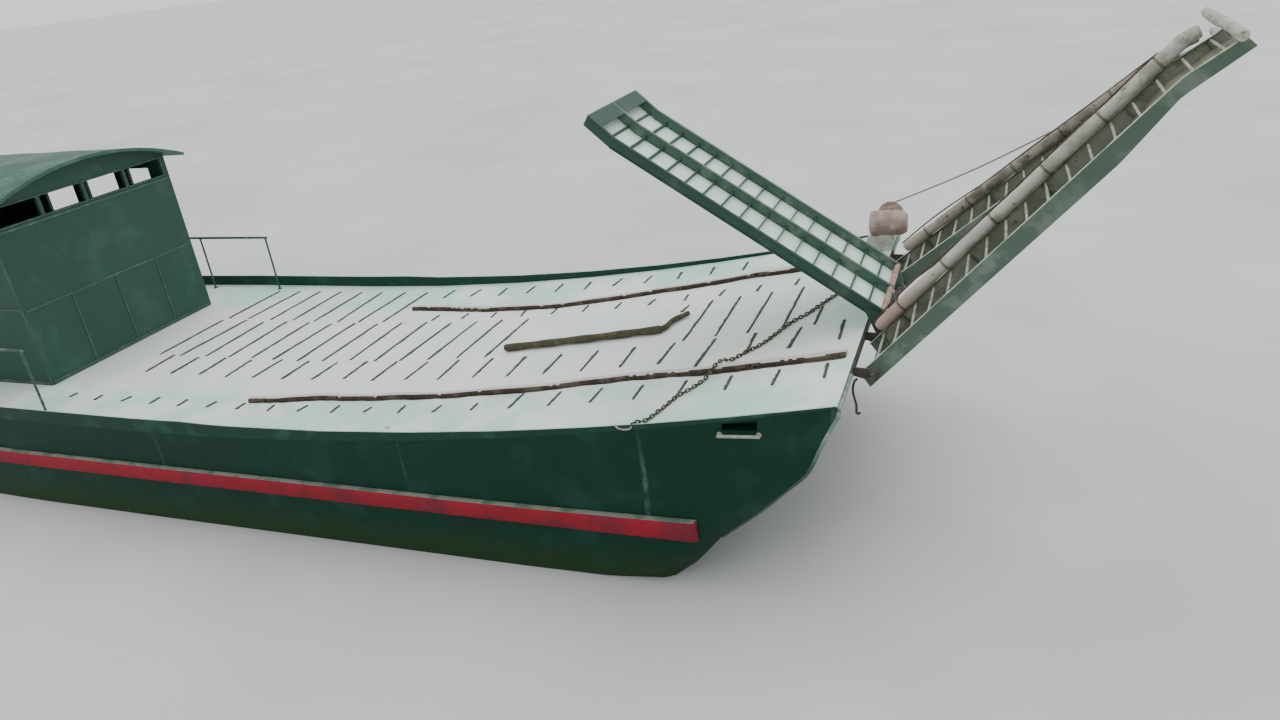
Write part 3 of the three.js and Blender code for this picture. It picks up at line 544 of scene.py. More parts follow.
ROD_ROWS = [  # y of both ends, x of the foremost rod, pitch, number of rods
    (-1.80, -1.47, -0.226, 0.478, 8), (-1.80, -1.64, -4.05, 0.478, 14),
    (-0.95, -0.42, -0.226, 0.478, 3), (-1.19, -0.42, -1.66, 0.478, 1),
    (-0.95, -0.42, -2.138, 0.478, 17), (-0.42, 0.10, -0.56, 0.4, 1),
    (-0.36, 0.86, -0.92, 0.38, 4), (-0.38, 0.88, -4.68, 0.415, 14),
    (0.95, 2.15, -7.12, 0.415, 8), (0.98, 1.19, -1.04, 0.478, 12),
    (1.90, 2.20, -1.94, 0.47, 11), (0.58, 0.80, -2.36, 1.0, 1)]
ROD_RADIUS = 0.0140
ROD_POINTS = 11
rng = np.random.default_rng(7)
rods = []
rod_dirt_and_shade = []
for y0, y1, first, pitch, count in ROD_ROWS:
    for k in range(count):
        x = first - k * pitch + rng.normal(0, 0.004)
        ends = np.array([y0, y1]) + rng.normal(0, 0.015, 2)
        y = np.linspace(ends[0], ends[1], ROD_POINTS)
        lean = rng.normal(0, 0.012) * np.linspace(-1, 1, ROD_POINTS)
        line = np.column_stack([x + lean + rng.normal(0, 0.0012, ROD_POINTS), y,
                                deck_height(x) + 0.0005 + rng.normal(0, 0.0008, ROD_POINTS)])
        radius = np.full(ROD_POINTS, ROD_RADIUS)
        radius[[0, -1]] = 0.011
        rods.append(tube(line, radius, sides=8))
        # Beside each rod, a little forward of it, a flat dark band: weld, dirt and painted shade along
        # the rod.
        edge_line = line + [0.004, 0, 0]
        edge_line[:, 2] = dirt_and_shade_bed(x, edge_line[:, 1])
        width = 0.027 + 0.005 * rng.standard_normal(ROD_POINTS)
        rod_dirt_and_shade.append(tube(edge_line, np.maximum(width, 0.017), sides=8, flat=0.09))
rod_rust = weathered("rod_rust", (BOW_X - 4, 0, 1.9), tone(66, 76, 70), tone(92, 94, 86),
                     tone(80, 60, 48), grain=14, cover=0.5, stain_at=0.56, rough=0.8, bump=0.3,
                     shine=0.2)
build("anti_slip_rods", rods, rod_rust, "boat", angle=50)
# The bands' finish: the colour of weld and dirt, kept dark also as painted shade beside the rods.
weld_dirt_and_shade = weathered("weld_dirt_and_shade", (BOW_X - 4, 0, 1.9), tone(92, 102, 94), tone(128, 134, 124),
                      tone(96, 84, 70), grain=10, cover=0.5, stain_at=0.6, rough=0.9, bump=0.3,
                      shine=0.1)
build("rod_welds_dirt_and_shade", rod_dirt_and_shade, weld_dirt_and_shade, "boat", angle=60)

# Coamings: a steel plate on edge along each side, green, its top rounded by a welded bar and
# worn pale, with the bent bar outside that the chain is made fast to, chafed bright.
staple_pale = weathered("staple_pale", (BOW_X - 2, -2.4, 2), tone(150, 150, 138), tone(176, 178, 166),
                        tone(104, 74, 56), grain=20, stain_at=0.6, rough=0.6, metal=0.2, bump=0.3)
coaming_green = weathered("coaming_green", (BOW_X - 6, 0, 1.8), tone(20, 60, 46), tone(34, 78, 62),
                          tone(74, 70, 54), grain=2.5, cover=0.4, stain_at=0.68, streak=0.3,
                          rough=0.5, bump=0.2, shine=0.2)
coaming_worn = weathered("coaming_top", (BOW_X - 6, 0, 1.8), tone(168, 190, 176), tone(120, 150, 134),
                         tone(96, 84, 70), grain=6, cover=0.4, stain_at=0.64, rough=0.6, bump=0.2)
STAPLE_X = -1.98
coaming_x = np.concatenate([np.arange(-16.4, -0.05, 0.1), [0.0]])
coaming_top = 0.17 - 0.15 * np.clip((coaming_x + 7.6) / 7.6, 0, 1) ** 0.8
coaming_in = np.array([0.0005, 0.0005, 0.0040, 0.0080, 0.0115, 0.0115])
coaming_up = coaming_top[:, None] - [0.0, 0.004, 0.0, 0.0, 0.004, 0.0]
coaming_up[:, [0, -1]] = -0.008
for name, side in (("port", 1), ("starboard", -1)):
    wave = np.abs(0.0015 * np.sin(coaming_x * 5.1 + side))[:, None] * (coaming_up > 0.02)
    coaming_out = section(coaming_x, 1)[:, None] - coaming_in - wave
    rings = rings_at(coaming_x, side * coaming_out, deck_height(coaming_x)[:, None] + coaming_up)
    staple = [(STAPLE_X + dx, side * 2.446, float(deck_height(STAPLE_X)) + up) for dx, up in
              ((-0.085, 0.048), (-0.060, 0.018), (0, 0.005), (0.060, 0.018), (0.085, 0.048))]
    staple_bar = tube(smooth_line(staple, 30), 0.0088, 12)
    build(name + "_coaming_plate", [skin(rings)], coaming_green, "boat", [name + "_coaming"], angle=40,
          facing=((0, 0, 1), 0.6, coaming_worn))
    build(name + "_chain_staple", [staple_bar], staple_pale, "boat", angle=50)

# Rub rails: rounded boxes of bent plate welded along both sides, closed at their ends.
# Red gloss paint gone matt, with dust and green wear along the top.
rail_red = weathered("rail_red", (BOW_X - 8, 0, 1), tone(142, 26, 43), tone(112, 34, 46),
                     tone(84, 66, 58), grain=3.0, cover=0.4, stain_at=0.68, streak=0.2,
                     rough=0.55, bump=0.2, shine=0.2)
rail_dust = weathered("rail_dust", (BOW_X - 8, 0, 1), tone(122, 126, 114), tone(80, 102, 88),
                      tone(110, 60, 60), grain=4.0, cover=0.5, stain_at=0.62, rough=0.9, bump=0.2,
                      shine=0.1)
rail_x = np.concatenate([[-15.0, -14.98], np.arange(-14.9, -1.45, 0.12), [-1.42, -1.38, -1.36]])
RAIL_DEEP = 0.074
RAIL_TOP = -0.46
RAIL_FOOT = -0.67
rail_deep = RAIL_DEEP * (1 - 0.03 * np.sin(rail_x * 3.1) ** 2)
rail_deep[[0, 1, -2, -1]] *= (0.35, 0.8, 0.8, 0.4)
rail_lift = (0.035 * np.clip((rail_x + 4.4) / 3, 0, 1) ** 2)[:, None]
rail_bend = np.radians(np.linspace(-80, 80, 9))
rail_out = np.hstack([np.zeros((len(rail_x), 2)), rail_deep[:, None] * np.cos(rail_bend) ** 0.45])
rail_z = np.hstack([RAIL_TOP + rail_lift, np.full_like(rail_lift, RAIL_FOOT),
                    -0.565 + rail_lift / 2 + (0.104 + rail_lift / 2) * np.sin(rail_bend) / 0.985])
for name, side in (("port", 1), ("starboard", -1)):
    rings = rings_at(rail_x, side * (section(rail_x, 1)[:, None] + GAP + rail_out), rail_z)
    build(name + "_rub_rail_bar", [skin(rings)], rail_red, "boat", [name + "_rub_rail"], angle=40,
          facing=((0, 0, 1), 0.62, rail_dust))

# Guide strips: rough steel bars welded along the deck to keep a machine's tracks in line, their
# pale top worn and their starboard face painted dark, as shade. They follow the deck and wander a
# little, and an uneven dark band along their starboard foot is washed-up dirt and painted shadow.
strip_pale = weathered("strip_pale", (BOW_X - 3, 0, 2), tone(204, 194, 187), tone(188, 190, 182),
                       tone(140, 120, 108), grain=3, cover=0.5, stain_at=0.66, rough=0.8, bump=0.5,
                       shine=0.2)
# The dark finish: the strips' own brown, darkened into painted shade.
strip_shade_and_dirt = weathered("strip_shade_and_dirt", (BOW_X - 3, 0, 2), tone(70, 60, 54), tone(96, 84, 76),
                       tone(50, 40, 34), grain=4, cover=0.5, stain_at=0.58, rough=0.9, bump=0.5,
                       shine=0.1)
STRIPS = {
    "starboard": [(-7.36, -1.565), (-6.4, -1.45), (-4.8, -1.425), (-3.36, -1.35), (-2.4, -1.255),
                  (-1.5, -1.3), (-0.08, -1.325)],
    "port": [(-6.9, 1.455), (-5.36, 1.29), (-4.3, 1.27), (-3.2, 1.425), (-2.0, 1.53),
             (-1.64, 1.59), (-1.2, 1.545), (-0.08, 1.52)]}
STRIP_HALF_WIDTH = 0.054
crown = np.radians(np.linspace(172, 8, 9))
strip_y = STRIP_HALF_WIDTH * np.concatenate([[1, -1], np.cos(crown)])
strip_z = np.concatenate([[0.0, 0.0], 0.010 + 0.049 * np.sin(crown) ** 0.6])
for name, table in STRIPS.items():
    table = np.array(table)

    def wander(x, table=table):
        """The strip's y: straight through the table, plus 6 mm sin(5.7 x) and 4 mm sin(13.1 x)."""
        straight = np.interp(x, table[:, 0], table[:, 1])
        return straight + 0.006 * np.sin(x * 5.7) + 0.004 * np.sin(x * 13.1 + 1)

    x = np.arange(table[0, 0], table[-1, 0] + 0.001, 0.04)
    rough = 1 + 0.10 * np.sin(x * 9.1) * np.sin(x * 4.3) + rng.normal(0, 0.025, len(x))
    rings = rings_at(x, wander(x)[:, None] + np.minimum(1, rough)[:, None] * strip_y,
                     deck_height(x)[:, None] + 0.0004 + np.minimum(1, rough - 0.03)[:, None] * strip_z)
    # Faces that look to starboard take the dark finish: painted shade on the side away from the sun.
    build(name + "_guide_bar", [skin(rings)], strip_pale, "boat", [name + "_guide_strip"], angle=50,
          facing=((0, -1, 0.2), 0.76, strip_shade_and_dirt))
    # Along the starboard foot, a dark band of washed-up dirt and the painted shadow the strip casts.
    foot_x = np.arange(table[0, 0], table[-1, 0], 0.025)
    foot_y = wander(foot_x) - STRIP_HALF_WIDTH - 0.004
    foot_z = dirt_and_shade_bed(foot_x, foot_y)
    uneven = np.sin(foot_x * 7.9) * np.sin(foot_x * 3.1 + 1) + 0.5 * np.sin(foot_x * 31)
    spread = 0.014 + 0.006 * uneven + 0.014 * np.clip((foot_x + 2.2) / 0.5, 0, 1)
    foot_dirt_and_shadow = tube(np.column_stack([foot_x, foot_y, foot_z]), spread, sides=8, flat=0.12)
    build(name + "_guide_dirt_and_shadow", [foot_dirt_and_shadow], strip_shade_and_dirt, "boat", angle=60)

# Hinge shaft: a round steel bar through four lugs welded to a sill plate across the bow,
# scaled with rust where the ramps turn on it. A collar holds it on both sides of each lug, and a
# bent hook hangs from its starboard end.
HINGE = np.array([0.190, 0.0, 0.775])
LUGS_AT = (-1.59, -0.775, 0.775, 1.59)


def arc(centre, radius_x, radius_z, start, end, count):
    """Points (x, z) = centre + (radius_x cos a, radius_z sin a) for a from start to end degrees."""
    a = np.radians(np.linspace(start, end, count))
    return np.column_stack([centre[0] + radius_x * np.cos(a), centre[1] + radius_z * np.sin(a)])


def bar(a, b, radius, sides=16):
    """A round bar from a to b, its rims worn back by a quarter of the radius, or 4 mm at most."""
    a = np.asarray(a, float)
    b = np.asarray(b, float)
    run = (b - a) / np.linalg.norm(b - a)
    lip = min(radius * 0.25, 0.004)
    line = [a, a + run * lip, b - run * lip, b]
    return tube(line, [radius - lip, radius, radius, radius - lip], sides)


HINGE_LUG = np.vstack([[(0.0015, 0.850), (0.0015, 0.768), (0.180, 0.715)],
                       arc(HINGE[[0, 2]], 0.062, 0.062, -60, 75, 8)])
shaft_steel = weathered("shaft_steel", (BOW_X, 0, 2.3), tone(70, 74, 66), tone(96, 92, 80),
                        tone(74, 54, 42), grain=9, cover=0.5, stain_at=0.56, rough=0.75, metal=0.15,
                        bump=0.4, shine=0.25)
shaft_shapes = [block(0.0005, 0.0158, -1.7, 1.7, 0.765, 0.852),
                bar(HINGE + [0, -1.64, 0], HINGE + [0, 1.64, 0], 0.0298, 24)]
for y in LUGS_AT:
    shaft_shapes.append(prism(HINGE_LUG, y - 0.0078, y + 0.0078))
    for side in (-1, 1):
        ring_y = y + side * 0.013
        shaft_shapes.append(bar(HINGE + [0, ring_y - 0.0045, 0], HINGE + [0, ring_y + 0.0045, 0],
                                0.044, 20))
build("bow_hinge_bar", shaft_shapes, shaft_steel, "boat", ["bow_hinge_shaft"], bevel=0.002)
hook_line = smooth_line([(0.050, -1.600, 0.735), (0.026, -1.628, 0.715), (0.012, -1.630, 0.62),
                         (0.040, -1.630, 0.48), (0.040, -1.630, 0.405), (0.056, -1.630, 0.385),
                         (0.074, -1.630, 0.400)], 60)
build("hinge_hook", [tube(hook_line, 0.0115, 12)], shaft_steel, "boat", angle=60)

# Track ramps: two steel channels with their flanges inwards, a floor plate between the lower
# ones and round rungs welded across near the top. Their paint is dull green, thin and rusty on
# the rungs, and the floor is brown with dried mud. Each is drawn along U with V up, then turned.
LOW = np.array([(-0.130, -0.080), (2.650, -0.080), (3.250, -0.020), (3.790, -0.110)])
TOP = np.array([(-0.095, 0.080), (3.350, 0.080), (3.790, -0.010)])
RAISED = {"starboard": 46.8, "port": 38.6}  # degrees above level
RUNG_PITCH = 0.222
FLANGE = 0.040
CHANNEL_THICK = 0.007
STIFFENERS_AT = (0.35, 1.20, 2.05, 2.90, 3.60)


def turned(shape, angle):
    """(u, y, v) to (x, y, z): x = u cos a - v sin a, z = u sin a + v cos a, from the hinge."""
    points, faces = shape
    u, y, v = points.T
    c = math.cos(math.radians(angle))
    s = math.sin(math.radians(angle))
    return np.column_stack([u * c - v * s, y, u * s + v * c]) + HINGE, faces


def low_edge(u):
    """The beams' lower edge, straight between the points of LOW."""
    return np.interp(u, LOW[:, 0], LOW[:, 1])


def top_edge(u):
    """The beams' upper edge, straight between the points of TOP."""
    return np.interp(u, TOP[:, 0], TOP[:, 1])


def channel(y_web, y_lip):
    """A channel along U, web at y_web, flanges reaching to y_lip, between LOW and TOP.

    The web is dented by 1.2 mm |sin(7.3 u + 9 y_web)^3|, and the foot is cut back at the top.
    """
    sign = 1 if y_lip > y_web else -1
    u = np.concatenate([[-0.130], np.arange(-0.06, 3.76, 0.06), [3.790]])
    low = low_edge(u)
    top = top_edge(u)
    head = u + np.where(u < -0.1, 0.035, 0.0)
    web = y_web + sign * np.abs(0.0012 * np.sin(u * 7.3 + y_web * 9) ** 3)
    inner = web + sign * CHANNEL_THICK
    lip = np.full(len(u), y_lip)
    under = top - CHANNEL_THICK
    over = low + CHANNEL_THICK
    corners = [(u, web, low), (head, web, top), (head, lip, top), (head, lip, under),
               (head, inner, under), (u, inner, over), (u, lip, over), (u, lip, low)]
    return skin(np.stack([np.stack(corner, -1) for corner in corners], 1))


ramp_paint = weathered("ramp_paint", (BOW_X + 1.5, 0, 3.5), tone(78, 98, 82), tone(106, 120, 106),
                       tone(92, 80, 64), grain=2.5, cover=0.4, stain_at=0.68, streak=0.15, rough=0.5,
                       bump=0.25, shine=0.25)
# A paler copy of the ramp's green for the inner face of a beam: painted light over the shade that face
# lies in.
ramp_inside_painted_light = weathered("ramp_inside_painted_light", (BOW_X + 1.5, 0, 3.5), tone(142, 146, 130), tone(116, 120, 102),
                        tone(98, 82, 66), grain=4, cover=0.45, stain_at=0.62, rough=0.7, bump=0.3)
# A pale finish for the beams' top edges: a painted highlight where they face the light.
edge_highlight = weathered("edge_highlight", (BOW_X + 1.5, 0, 3.5), tone(176, 188, 174), tone(120, 144, 126),
                      tone(120, 92, 72), grain=7, cover=0.45, stain_at=0.6, rough=0.6, bump=0.3)
mud_plate = weathered("mud_plate", (BOW_X + 1.5, 0, 3.5), tone(132, 130, 112), tone(150, 142, 122),
                      tone(98, 78, 62), grain=6, cover=0.55, stain_at=0.58, rough=0.85, bump=0.35)
rung_steel = weathered("rung_steel", (BOW_X + 1.5, 0, 3.5), tone(168, 170, 156), tone(128, 134, 118),
                       tone(112, 80, 60), grain=12, cover=0.5, stain_at=0.58, rough=0.65, metal=0.1,
                       bump=0.3)
for name, y_out, y_in in (("starboard", -1.54, -0.84), ("port", 1.54, 0.84)):
    angle = RAISED[name]
    inward = 1 if y_in > y_out else -1
    shapes = [channel(y_out, y_out + inward * FLANGE), channel(y_in, y_in - inward * FLANGE)]
    for y in (y_out + inward * 0.02, y_in - inward * 0.02):
        shapes.append(bar((0, y - 0.026, 0), (0, y + 0.026, 0), 0.056, 24))
    for u in STIFFENERS_AT:
        for y in (y_out + inward * 0.022, y_in - inward * 0.022):
            shapes.append(block(u - 0.004, u + 0.004, y - 0.016, y + 0.016,
                                low_edge(u) + 0.006, top_edge(u) - 0.006))
    up = (-math.sin(math.radians(angle)), 0, math.cos(math.radians(angle)))
    # Faces that look along the ramp's up take the pale finish: a painted highlight on the top edges.
    build(name + "_ramp_beams", [turned(s, angle) for s in shapes], ramp_paint,
          name + "_track_ramp", [name + "_ramp"], bevel=0.0015, facing=(up, 0.9, edge_highlight))
    # A thin pale sheet on the starboard-facing side of the beam with the greater y, seen between the
    # rungs: painted light, paler than the green it covers where that side lies in shade.
    liner_y = max(y_out, y_in) - GAP
    u = np.arange(0.02, 3.74, 0.06)
    low = low_edge(u) + 0.009
    top = top_edge(u) - 0.009
    liner = rings_at(u, liner_y - np.array([[0.0085, 0.0075, 0.0075, 0.0085]]),
                     np.column_stack([low, low, top, top]))
    build(name + "_ramp_inner_face_painted_light", [turned(skin(liner), angle)], ramp_inside_painted_light, name + "_track_ramp")
    left = min(y_out, y_in) + 0.008
    right = max(y_out, y_in) - 0.008
    u = np.concatenate([np.arange(0.12, 3.72, 0.08), [3.75]])
    y = np.linspace(left, right, 15)
    sag = -0.0024 * np.outer(np.sin(math.pi * u / 0.85), np.sin(np.linspace(0, math.pi, 15))) ** 2
    base = low_edge(u)[:, None] + 0.0072 + sag
    rings = rings_at(u, np.concatenate([y, y[::-1]])[None], np.hstack([base + 0.0075, base + 0.003]))
    build(name + "_ramp_floor", [turned(skin(rings), angle)], mud_plate, name + "_track_ramp")
    rungs = []
    for k in range(17):
        u = 0.09 + RUNG_PITCH * k
        v = top_edge(u) - 0.022
        y = np.linspace(left, right, 9)
        sag = -0.006 * rng.random() * np.sin(np.linspace(0, math.pi, 9))
        skew = rng.normal(0, 0.006) * np.linspace(-1, 1, 9)
        rungs.append(turned(tube(np.column_stack([u + skew, y, v + sag]), 0.0122, 10), angle))
    build(name + "_ramp_rungs", rungs, rung_steel, name + "_track_ramp", angle=50)

# Side pipes: a steel pipe of 122 mm along each ramp's port beam, its paint chalky, dented by use
# and bent over at the toe. Thin wire ties it down in pairs of turns, and a rusty wire rope runs
# along it.
pipe_brown = weathered("pipe_brown", (BOW_X + 1.5, 0, 3.5), tone(150, 144, 130), tone(112, 104, 92),
                       tone(88, 74, 62), grain=5, cover=0.55, stain_at=0.58, rough=0.9, bump=0.6,
                       shine=0.2, bands=[("Z", 2.95, 2.55, 0.8, tone(186, 172, 162))])
pipe_pale = weathered("pipe_pale", (BOW_X + 1.5, 0, 3.5), tone(190, 190, 178), tone(152, 150, 138),
                      tone(120, 106, 94), grain=3.6, cover=0.5, stain_at=0.62, rough=0.85,
                      bump=0.6, shine=0.2, bands=[("Z", 3.15, 2.55, 0.9, tone(172, 146, 136))])
wire_rust = weathered("wire_rust", (BOW_X + 1.5, 0, 3.5), tone(82, 66, 56), tone(112, 92, 76),
                      tone(54, 42, 34), grain=20, rough=0.85, metal=0.2, bump=0.2)
PIPE_UP = 0.1425
PIPE_RADIUS = 0.061
TIES_AT = (0.42, 0.99, 1.58, 2.17, 2.75, 3.30)
WIRE = 0.0028 * np.column_stack([np.cos(bar_angle), np.sin(bar_angle)])


def turned_ring(profile, centre, axis, sides=48):
    """A solid of revolution: (radius, along) pairs swept about axis 0 or 1 through centre."""
    r, t = np.asarray(profile, float).T
    a = (np.arange(sides) / sides * 2 * math.pi)[:, None]
    over = r * np.cos(a)
    up = r * np.sin(a)
    along = np.broadcast_to(t, over.shape)
    rings = np.stack((along, over, up) if axis == 0 else (over, along, up), -1) + centre
    return skin(rings, loop=True)


for name, y in (("starboard", -0.86), ("port", 1.52)):
    angle = RAISED[name]
    line = smooth_line([(0.100, y, PIPE_UP), (1.2, y, PIPE_UP), (2.4, y, PIPE_UP),
                        (3.40, y, PIPE_UP), (3.50, y, 0.139), (3.58, y, 0.125),
                        (3.640, y, 0.102)], 110)
    size = np.full(110, PIPE_RADIUS)
    size[[0, -1]] = 0.048
    size[[1, -2]] = 0.058

    def worn(k, a, y=y):
        """1 minus flats of 0.09 (0.5 + 0.5 sin(0.21 k + 2 a + y))^3 and ripples of up to 2 %."""
        flat = 0.09 * (0.5 + 0.5 * np.sin(0.21 * k + 2 * a + y)) ** 3
        return 1 - flat - 0.02 * (1 + np.sin(1.7 * k + 3 * a) * np.sin(0.6 * k - a)) * 0.5

    pipe = tube(line, size, 24, uneven=worn)
    coat = pipe_pale if name == "starboard" else pipe_brown
    build(name + "_side_pipe", [turned(pipe, angle)], coat, name + "_track_ramp",
          [name + "_ramp_side_pipe"], angle=60)
    ties = []
    for u in TIES_AT:
        for shift in (-0.006, 0.006):
            tie = turned_ring(WIRE + [PIPE_RADIUS + 0.0025, 0], (u + shift, y, PIPE_UP), 0, 24)
            ties.append(turned(tie, angle))
    along = np.linspace(0.10, 3.30, 160)
    off = 0.0705 + 0.026 * np.clip(np.sin(math.pi * (along - 0.10) / 1.10), 0, 1) * (along < 1.2)
    round_at = np.radians(58 + 5 * np.sin(along * 4.1))
    wire = np.column_stack([along, y + off * np.cos(round_at), PIPE_UP + off * np.sin(round_at)])
    ties.append(turned(tube(wire, 0.0085, 10), angle))
    build(name + "_pipe_ties", ties, wire_rust, name + "_track_ramp", angle=60)

# Toe logs: a bleached wooden pole across the toe of each track ramp, with knots and ridges
# of grain. It lies on the beams' bent ends and takes the blow when the ramp comes down.
log_wood = weathered("log_wood", (BOW_X + 2.8, 0, 5), tone(178, 184, 168), tone(154, 156, 138),
                     tone(104, 92, 72), grain=11, cover=0.5, stain_at=0.6, rough=0.85, bump=0.5)
TOE_U = 3.775
TOE_V = 0.0374
for name, y0, y1 in (("starboard", -1.655, -0.145), ("port", 0.765, 1.655)):
    y = np.linspace(y0, y1, 44)
    line = np.column_stack([TOE_U + 0.004 * np.sin(y * 4), y, np.full_like(y, TOE_V)])
    size = 0.0445 + 0.002 * np.sin(y * 7.0)
    size[[0, -1]] = 0.038

    def knots(k, a, y0=y0):
        """Ridges of the grain, 1.5 % sin(7 a + 0.3 k), and a knot at every 13th ring."""
        knot = 0.05 * np.exp(-((k % 13) - 6) ** 2 / 3.0) * (np.cos(a - k * 0.7 + y0) > 0.6)
        return 0.97 + 0.015 * np.sin(7 * a + 0.3 * k) + knot

    build(name + "_toe_log", [turned(tube(line, size, 28, uneven=knots), RAISED[name])], log_wood,
          name + "_track_ramp", [name + "_ramp_tip_bar"], angle=60)

# Centre ramp: three deep flat beams under one plate with flat bars across, folded back so
# that the plate faces down. Dark green beams, the centre and port ones a lighter green as painted
# light against the shade the starboard beam throws on them; a pale mint plate, paler still as
# painted light; a rust-pink bar at the foot. Welded steel throughout, it hangs on the hinge shaft
# by an arm at the foot of each beam.
FOLD = 180 - 34.6  # degrees: it leans aft, 34.6 above level
PLATE_HALF_WIDTH = 0.69
BEAM_FLANGE = 0.0195
# The centre and port beams' green is a lighter copy of the starboard beam's: painted light against the
# shade the near beam throws on them.
panel_green_painted_light = weathered("panel_green_painted_light", (BOW_X - 1.4, 0, 3.4), tone(74, 106, 90), tone(112, 134, 116),
                        tone(84, 76, 60), grain=3, cover=0.4, stain_at=0.68, rough=0.45, bump=0.25)
panel_dark = weathered("panel_dark", (BOW_X - 1.4, 0, 3.4), tone(48, 78, 66), tone(70, 92, 80),
                       tone(70, 58, 46), grain=3, cover=0.35, stain_at=0.68, rough=0.5, bump=0.25,
                       shine=0.2)
# The plate's pale mint paint, made paler still as painted light where the plate lies in shade.
panel_mint_painted_light = weathered("panel_mint_painted_light", (BOW_X - 1.4, 0, 3.4), tone(220, 244, 228), tone(232, 244, 234),
                       tone(168, 176, 156), grain=3, cover=0.5, stain_at=0.70, rough=0.4, bump=0.15)
foot_rust = weathered("foot_rust", (BOW_X, 0, 2.5), tone(172, 142, 130), tone(150, 112, 98),
                      tone(96, 66, 52), grain=12, cover=0.5, stain_at=0.58, rough=0.8, bump=0.4)
beam_line = [(0.120, -0.105), (3.350, -0.105), (3.695, -0.160), (3.695, -0.280), (3.350, -0.225),
             (0.120, -0.225)]
arm_line = [(-0.055, -0.030), (-0.052, 0.010), (-0.040, 0.040), (0, 0.060), (0.045, 0.045),
            (0.300, -0.110), (0.300, -0.160), (0.125, -0.200), (-0.020, -0.055)]


def centre_beam(y):
    """One beam as prisms about y, turned by FOLD: web, flanges, foot arm and hinge boss."""
    made = [prism(beam_line, y - 0.006, y + 0.006)]
    for v0, v1 in ((-0.117, -0.105), (-0.225, -0.213)):
        made.append(block(0.12, 3.35, y - BEAM_FLANGE, y + BEAM_FLANGE, v0, v1))
    made.append(prism([(3.35, -0.225), (3.695, -0.280), (3.695, -0.268), (3.35, -0.213)],
                      y - BEAM_FLANGE, y + BEAM_FLANGE))
    made.append(prism(arm_line, y - 0.0175, y + 0.0175))
    made.append(bar((0, y - 0.030, 0), (0, y + 0.030, 0), 0.052, 24))
    return [turned(s, FOLD) for s in made]


build("centre_ramp_beams", centre_beam(0.0) + centre_beam(PLATE_HALF_WIDTH), panel_green_painted_light,
      "centre_ramp_body", ["centre_ramp"], bevel=0.0015)
build("centre_ramp_side_beam", centre_beam(-PLATE_HALF_WIDTH), panel_dark, "centre_ramp_body",
      bevel=0.0015)
shapes = []
for k in range(15):
    u = 0.310 + RUNG_PITCH * k
    for y0, y1 in ((-0.684, -0.006), (0.006, 0.684)):
        shapes.append(block(u - 0.006, u + 0.006, y0, y1, -0.168, -0.111))
for edge in ([(3.52, -0.244), (3.695, -0.272), (3.695, -0.2795), (3.52, -0.252)],
             [(3.689, -0.161), (3.6945, -0.162), (3.6945, -0.278), (3.689, -0.277)]):
    shapes.append(prism(edge, -PLATE_HALF_WIDTH, PLATE_HALF_WIDTH))
build("centre_ramp_cross_bars", [turned(s, FOLD) for s in shapes], panel_dark, "centre_ramp_body",
      bevel=0.0015)
u = np.concatenate([np.arange(0.12, 3.34, 0.06), [3.35], np.arange(3.40, 3.69, 0.05), [3.688]])
y = np.linspace(-0.683, 0.683, 41)
bulge = 0.0035 * np.outer(np.sin(math.pi * (u - 0.31) / RUNG_PITCH),
                          np.sin(math.pi * y / PLATE_HALF_WIDTH)) ** 2
base = np.interp(u, [0.12, 3.35, 3.695], [-0.105, -0.105, -0.160])[:, None] + bulge
rings = rings_at(u, np.concatenate([y, y[::-1]])[None],
                 np.hstack([base - 0.0062, base[:, ::-1] - 0.0112]))
build("centre_ramp_plate", [turned(skin(rings), FOLD)], panel_mint_painted_light, "centre_ramp_body")
foot_bar = bar((0.150, -0.688, -0.192), (0.150, 0.688, -0.192), 0.031, 18)
build("centre_ramp_foot_bar", [turned(foot_bar, FOLD)], foot_rust, "centre_ramp_body")

# Winch: a round gear housing of rusty steel lying fore and aft on a saddle, and outboard of it
# a small drum between two cheek plates, wound with old rope. All stands on one plate that is
# welded to the deck.
WINCH_AT = np.array([-0.070, 2.140, 1.150])
BASE_THICK = 0.0395
base_pale = weathered("base_pale", (BOW_X, 2.0, 2.5), tone(186, 190, 176), tone(164, 158, 142),
                      tone(120, 92, 76), grain=7, cover=0.5, stain_at=0.6, rough=0.75, bump=0.4)
# Rust on the housing and drum, darker towards the bottom: painted shade on the lower side of their
# curve.
drum_rust_and_shade = weathered("drum_rust_and_shade", (BOW_X, 2.0, 2.6), tone(158, 136, 128), tone(186, 168, 158),
                      tone(112, 90, 78), grain=5, cover=0.5, stain_at=0.66, rough=0.85, bump=0.4,
                      bands=[("Z", 2.70, 2.56, 0.7, tone(112, 96, 90))])
rope_old = weathered("rope_old", (BOW_X, 1.9, 2.6), tone(150, 136, 118), tone(118, 104, 88),
                     tone(84, 70, 58), grain=40, cover=0.5, stain_at=0.6, rough=0.95, bump=0.4)


def on_deck(x0, x1, y0, y1, height):
    """A plate or block whose foot follows the deck, half a millimetre up, from x0 to x1."""
    x = np.unique(np.concatenate([[x0, x1], SHEER_X[(SHEER_X > x0) & (SHEER_X < x1)]]))
    foot = deck_height(x)[:, None] + 0.0005
    return skin(rings_at(x, np.array([[y0, y1, y1, y0]]), foot + [0.0, 0.0, height, height]))


